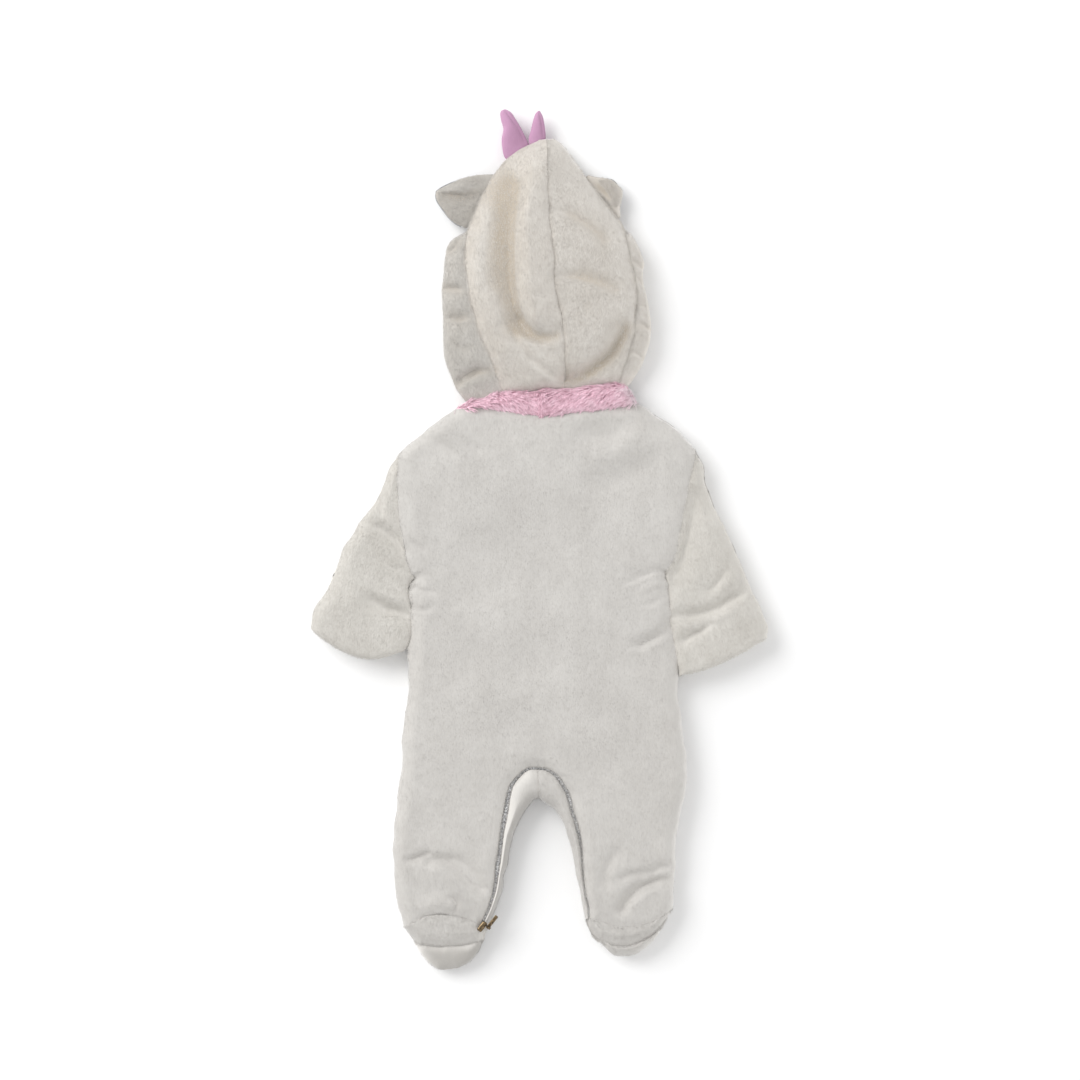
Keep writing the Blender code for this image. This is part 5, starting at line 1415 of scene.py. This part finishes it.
def crossing(piece, line, count, seed, width=2.0):
    """Roots within some mm of a seam; they lean level from there, so that pile bridges the seam."""
    spots, out = roots_on(piece, 60 * count, seed)
    near = np.flatnonzero(nearest(spots[:, :2], line)[0] < width)[:count]
    return spots[near], unit(out[near] + np.array([0, 0, 2.0]))


def grow(name, piece, count, comb, slot_name, seed, seams=(), rise=0.2):
    """Short pile all over a piece, and extra pile that is combed over each of its seams."""
    spots, out = roots_on(piece, count, seed)
    combs = np.broadcast_to(np.array(comb, float), spots.shape)
    for line, across, number in seams:
        more, its_out = crossing(piece, line, number, seed + 50)
        spots, out = np.concatenate([spots, more]), np.concatenate([out, its_out])
        combs = np.concatenate([combs, np.broadcast_to(np.array(across, float), more.shape)])
    FUZZ[piece.name] = tufts(
        name + "_pile", spots, out, combs, TUFT_LENGTH, TUFT_WIDTH, slot_name, seed, rise)


shares = np.linspace(0, 1, 30)
back_seams = []
for side in SIDES:
    back_seams += [
        (sides[side][shoulder:underarm + 30:4], (side, -0.6, 0), 1500),
        (heel_seam(legs[side], shares), (0, -1, 0), 900),
        (legs[side]["back_edge"][::3], (-0.9 * side, -0.5, 0), 2200),
    ]
grow("back", back, 45000, (0, -1, 0), "plush", 1, back_seams)
for side in SIDES:
    name = NAMES[side]
    by_zip = (legs[side]["front_edge"][::3], (0.9 * side, -0.3, 0), 1500)
    by_side = (hood_seam[side][:-30:3], (0.9 * side, -0.5, 0), 1200)
    by_centre = (hood_middle[::3], (-0.8 * side, -0.6, 0), 900)
    by_toe = (toe_seam(legs[side], shares), (0, -1, 0))
    grow(name + "_front", fronts[side], 9000, (0, -1, 0), "plush", 10 + side, [(*by_toe, 500), by_zip])
    grow(name + "_sole", soles[side], 3500, (0, -1, 0), "plush", 20 + side, [(*by_toe, 600)])
    grow(name + "_sleeve", sleeves[side], 15000, (0.6 * side, -0.8, 0), "plush", 30 + side, rise=0.25)
    for part, piece, count, comb, seed, seams in (
        ("hood_back", hood_backs[side], 19000, (-0.35 * side, -0.93, 0), 40, [by_side, by_centre]),
        ("hood_side", hood_sides[side], 9000, (-0.5 * side, -0.86, 0), 50, []),
        ("ear", ears[side], 3500, (side, 0.1, 0), 60, []),
    ):
        grow(name + "_" + part, piece, count, comb, "hood_plush", seed + side, seams, 0.34)

# %% [markdown]
# The collar's pile is longer: locks of about 9 mm that lie in slanting rows, the left half combed one
# way and the right half the other, so that the band looks braided.

# %% The collar's long pile
LOCK_LENGTH, LOCK_WIDTH, LOCK_ROW = 9.0, 1.15, 6.5


def collar_pile():
    """Locks on the collar's band, combed down and towards its middle, in rows that alternate."""
    spots, out = roots_on(collar, 6500, 40, 15, 0.05, 12)
    inward = np.clip((2 - spots[:, :1]) / 6, -1, 1)
    row = np.sin((spots[:, 1:2] + 0.55 * np.abs(spots[:, :1])) * 2 * np.pi / LOCK_ROW)
    lock = noise(spots[:, :1] / 2.6, spots[:, 1:2] / 2.6, 9)
    comb = np.concatenate([1.1 * inward + 0.3 * row + 0.5 * lock, -0.8 + 0.3 * lock, 0 * inward], axis=1)
    return tufts("collar_locks", spots, out, comb, LOCK_LENGTH, LOCK_WIDTH, "collar_pile", 41, 0.4, 3, 0.12)


FUZZ[collar.name] = collar_pile()

# %% [markdown]
# ## Cloth facts
# Every panel is cloth of a certain cut, so for each the script prints how its area compares with the
# size it had on the cutting table. Ears and crest points are stuffed, and are not among them.

def cloth_area(piece):
    """Half of a closed wall's surface, in square metres: the sum of half the cross products."""
    mesh = piece.data
    area = np.empty(len(mesh.polygons))
    mesh.polygons.foreach_get("area", area)
    return area.sum() / 2


def declare(piece, width, length, share, rests_on, held="laid"):
    """Print how a piece's cloth area compares with a cut of width x length in mm, of which the cut takes a
    share.
    """
    parts = [FUZZ[piece.name]] if piece.name in FUZZ else []
    parts += [tape, teeth] if piece == back else []
    area = share * width * length * MM * MM
    print(piece.name, "measures", round(cloth_area(piece) / area, 2), "of its cut")


declare(back, 300, 565, 0.76, ["front_left_panel", "front_right_panel"])
for side in SIDES:
    declare(fronts[side], 175, 600, 0.74, ["floor"])
    declare(soles[side], 72, 40, 0.7, [fronts[side].name])
    declare(sleeves[side], 210, 190, 0.8, ["floor"], "folded")
    declare(hood_backs[side], 110, 260, 0.62, [hood_sides[side].name])
    declare(hood_sides[side], 100, 190, 0.8, ["floor"], "folded")
    declare(linings[side], *((44, 56, 0.7) if side < 0 else (30, 34, 0.55)), ["floor"])
declare(collar, 155, 34, 0.72, [back.name])

# %% [markdown]
# ## Finishes
# Plush scatters light from many hairs, so it has no highlight, and its tone changes in strands and
# clumps. Its colour also holds painted light, paler on slopes turned away from the lamp, and painted
# shade, darker in hollows and on slopes that face the lamp. One node group gives that tone, the painted
# light and shade, and the height for the bump. Each cloth then places the group with its own colours.

# %% Shared node helpers
def node(tree, kind, links=None, **settings):
    """Add a node; links gives each input a value or another node's socket."""
    made = tree.nodes.new(kind)
    for key, value in settings.items():
        setattr(made, key, value)
    for key, value in (links or {}).items():
        if isinstance(value, bpy.types.NodeSocket):
            tree.links.new(value, made.inputs[key])
        else:
            made.inputs[key].default_value = value
    return made


def weighted(tree, *terms, start=0.0, clamp=False):
    """The start + value * weight for each term; values, weights and the start are numbers or sockets."""
    for value, weight in terms:
        made = node(tree, "ShaderNodeMath", {0: value, 1: weight, 2: start}, operation="MULTIPLY_ADD")
        made.use_clamp, start = clamp, made.outputs[0]
    return start


def mixed(tree, factor, first, second):
    """Colour mixed from two."""
    return node(tree, "ShaderNodeMix", {0: factor, 6: first, 7: second}, data_type="RGBA").outputs[2]


def mark_of(tree, name):
    """A number that was marked on the mesh's points."""
    return node(tree, "ShaderNodeAttribute", attribute_name=name).outputs["Fac"]


def noise_at(tree, vector, scale, detail=2.0):
    """Noise in cells of 1/scale metres, with its own scale for X, Y and Z."""
    place = node(tree, "ShaderNodeVectorMath", {0: vector, 1: scale}, operation="MULTIPLY").outputs[0]
    settings = {"Vector": place, "Scale": 1.0, "Detail": detail, "Roughness": 0.6}
    return node(tree, "ShaderNodeTexNoise", settings).outputs["Fac"]


def new_material(name, **settings):
    """A material, its tree and its shader's inputs, some of them set; an underscore stands for a space."""
    material = bpy.data.materials.new(name)
    material.use_nodes = True
    inputs = material.node_tree.nodes["Principled BSDF"].inputs
    for label, value in settings.items():
        inputs[label.replace("_", " ")].default_value = value
    return material, material.node_tree, inputs


def add_bump(tree, inputs, height, strength, depth):
    """Bump of a height socket on a shader."""
    lumps = node(tree, "ShaderNodeBump", {"Height": height, "Strength": strength, "Distance": depth})
    tree.links.new(lumps.outputs["Normal"], inputs["Normal"])


def new_group(name, inputs, outputs):
    """A shader node group with named sockets."""
    group = bpy.data.node_groups.new(name, "ShaderNodeTree")
    for label, kind in inputs:
        group.interface.new_socket(label, in_out="INPUT", socket_type=kind)
    for label, kind in outputs:
        group.interface.new_socket(label, in_out="OUTPUT", socket_type=kind)
    return group, group.nodes.new("NodeGroupInput").outputs, group.nodes.new("NodeGroupOutput").inputs


VECTOR, COLOUR, VALUE = "NodeSocketVector", "NodeSocketColor", "NodeSocketFloat"


# Two tones of the pile that change at random, then the colours of the painted shade and the painted light
TONES = ("Light", "Dark", "Painted shade colour", "Painted light colour")


def pile_group():
    """Tone = 0.4 strand + 0.35 clump + 0.6 broad + 0.1 tuft's own, then the painted shade and the painted
    light colours mixed in by their marks; height = 0.55 strand + 0.45 clump.
    """
    group, given, out = new_group(
        "pile",
        [("Vector", VECTOR), *((label, COLOUR) for label in TONES), ("Contrast", VALUE)],
        [("Color", COLOUR), ("Height", VALUE)])
    strand = noise_at(group, given["Vector"], (900, 260, 500))
    clump = noise_at(group, given["Vector"], (260, 150, 220), 3.0)
    broad = noise_at(group, given["Vector"], (30, 22, 30))
    own, deep, pale = (mark_of(group, name) for name in ("tone", "deep", "pale"))
    tone = weighted(group, (strand, 0.4), (clump, 0.35), (broad, 0.6), (own, 0.1), start=-0.675)
    tone = weighted(group, (tone, given["Contrast"]), start=0.5, clamp=True)
    colour = mixed(group, tone, given["Dark"], given["Light"])
    # painted shade, then painted light, by the amounts marked on the mesh
    colour = mixed(group, deep, colour, given["Painted shade colour"])
    group.links.new(mixed(group, pale, colour, given["Painted light colour"]), out["Color"])
    group.links.new(weighted(group, (strand, 0.55), (clump, 0.45)), out["Height"])
    return group


PILE = pile_group()


def cloth(name, light, dark, deep, contrast=2.6, sheen=1.0, roughness=0.92, bump=0.6, depth=0.0007):
    """A cloth finish: the pile group feeds colour and bump, and the sheen is the shader's own."""
    material, tree, inputs = new_material(
        name, Roughness=roughness, Specular_IOR_Level=0.15, Sheen_Weight=sheen, Sheen_Roughness=0.4)
    place = node(tree, "ShaderNodeTexCoord").outputs["Object"]
    # the painted light colour: the lighter tone made 1.5 times paler
    pale = tuple(min(1.5 * share, 1) for share in light)
    colours = {label: (*colour, 1) for label, colour in zip(TONES, (light, dark, deep, pale))}
    pile = node(tree, "ShaderNodeGroup", {**colours, "Contrast": contrast, "Vector": place}, node_tree=PILE)
    tree.links.new(pile.outputs["Color"], inputs["Base Color"])
    add_bump(tree, inputs, pile.outputs["Height"], bump, depth)
    return material


def metal(name, light, dark, grain, roughness, metallic, bump):
    """A metal finish: blotches of two tones, with roughness and a small bump from the same noise."""
    material, tree, inputs = new_material(name, Metallic=metallic)
    place = node(tree, "ShaderNodeTexCoord").outputs["Object"]
    spots = weighted(tree, (noise_at(tree, place, (grain, grain, grain)), 3.2), start=-1.1, clamp=True)
    tree.links.new(mixed(tree, spots, (*dark, 1), (*light, 1)), inputs["Base Color"])
    tree.links.new(weighted(tree, (spots, 0.2), start=roughness), inputs["Roughness"])
    add_bump(tree, inputs, spots, bump, 0.0002)
    return material


# Each cloth's lighter and darker tone, which change at random, and the colour of its painted shade
FINISHES = {
    "plush": cloth("cream_plush", (0.575, 0.558, 0.532), (0.485, 0.467, 0.443), (0.43, 0.41, 0.38), 2.4),
    # The sleeves' finish is a paler copy of the plush, painted light; the next one is a darker copy, painted
    # shade
    "sleeves": cloth("sleeve_plush_painted_light", (0.61, 0.59, 0.552), (0.50, 0.478, 0.44), (0.43, 0.40, 0.36)),
    "shaded": cloth("shaded_plush", (0.52, 0.50, 0.47), (0.415, 0.395, 0.365), (0.38, 0.34, 0.29)),
    "hood_plush": cloth("warm_plush", (0.625, 0.597, 0.557), (0.505, 0.472, 0.43), (0.44, 0.385, 0.315)),
    "collar_pile": cloth("pink_pile", (0.98, 0.71, 0.81), (0.66, 0.40, 0.48), (0.5, 0.25, 0.33), sheen=0.6),
    "crest_velvet": cloth("pink_velvet", (0.53, 0.31, 0.46), (0.45, 0.25, 0.38), (0.42, 0.22, 0.36),
                          1.6, 0.6, 0.8, 0.25, 0.0003),
    "ear_lining": cloth("silver_cloth", (0.55, 0.56, 0.58), (0.40, 0.41, 0.43), (0.3, 0.3, 0.3),
                        2.0, 0.1, 0.5),
    "zip": metal("zip_silver", (1.0, 1.0, 1.0), (0.22, 0.22, 0.23), 560, 0.3, 0.2, 0.3),
    "bronze": metal("dark_bronze", (0.30, 0.22, 0.13), (0.06, 0.045, 0.03), 420, 0.2, 1.0, 0.2),
}


# Painted light and painted shade: the sleeves take a paler copy of the plush, and the left side of the hood
# and the left ear a darker copy
LIT_AND_SHADED_FINISHES = {"sleeve": "sleeves", "hood_side_left": "shaded", "left_hood_side": "shaded",
       "ear_left": "shaded", "left_ear": "shaded"}


def dress():
    """Give every piece, and every node that shows, the finish of its slot."""
    for piece in [thing for thing in bpy.data.objects if thing.type == "MESH" and thing.get("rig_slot")]:
        piece.data.materials.clear()
        # listed pieces take a paler copy as painted light or a darker copy as painted shade, in place of
        # their slot's finish
        own = [name for word, name in LIT_AND_SHADED_FINISHES.items() if word in piece.name]
        piece.data.materials.append(FINISHES[(own + [piece["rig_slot"]])[0]])
    for name in ("zip_slider", "zip_pull"):
        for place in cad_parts[name].material_slots:
            place.material = FINISHES["bronze"]


dress()
print("finishes:", ", ".join(FINISHES))

# %% [markdown]
# ## Floor, light and camera
# The suit was photographed from straight above on white, with one large soft light from the upper
# left. A pale floor, that light and a bright even sky give the same soft grey shadow on the right. A
# weak low light from the other side keeps the slopes that face it as pale as in the photograph.

# %% Set the stage
def placed(name, data, place):
    """An object that holds a mesh, a light or a camera, in the scene."""
    holder = bpy.data.objects.new(name, data)
    holder.location = place
    bpy.context.scene.collection.objects.link(holder)
    return holder


def add_floor():
    """A flat pale square, 12 m wide."""
    mesh = bpy.data.meshes.new("floor")
    mesh.from_pydata([(-6, -6, 0), (6, -6, 0), (6, 6, 0), (-6, 6, 0)], [], [(0, 1, 2, 3)])
    mesh.materials.append(new_material(
        "pale_floor", Base_Color=(0.93, 0.93, 0.93, 1), Roughness=0.9, Specular_IOR_Level=0.1)[0])
    placed("floor", mesh, (0, 0, 0))


def add_light(name, place, size, power):
    """A square area light that looks at the suit."""
    lamp = bpy.data.lights.new(name, "AREA")
    lamp.size, lamp.energy = size, power
    placed(name, lamp, place).rotation_euler = (-Vector(place)).to_track_quat("-Z", "Y").to_euler()


def add_camera(height, lens):
    """A camera straight above the middle, with +Y up in the picture."""
    lens_data = bpy.data.cameras.new("camera")
    lens_data.lens, lens_data.sensor_width = lens, 36
    bpy.context.scene.camera = placed("camera", lens_data, (0, 0, height))


add_floor()
add_light("key", (-4.2, 3.0, 3.7), 4.6, 338)
add_light("fill", (4.4, -2.6, 0.8), 3.0, 35)
add_camera(3.2, 111.6)
sky = bpy.data.worlds.new("sky")
sky.use_nodes = True
sky.node_tree.nodes["Background"].inputs["Color"].default_value = (1, 1, 1, 1)
sky.node_tree.nodes["Background"].inputs["Strength"].default_value = 0.765
bpy.context.scene.world = sky
bpy.context.scene.view_settings.view_transform = "Standard"
print("camera, light and floor are set")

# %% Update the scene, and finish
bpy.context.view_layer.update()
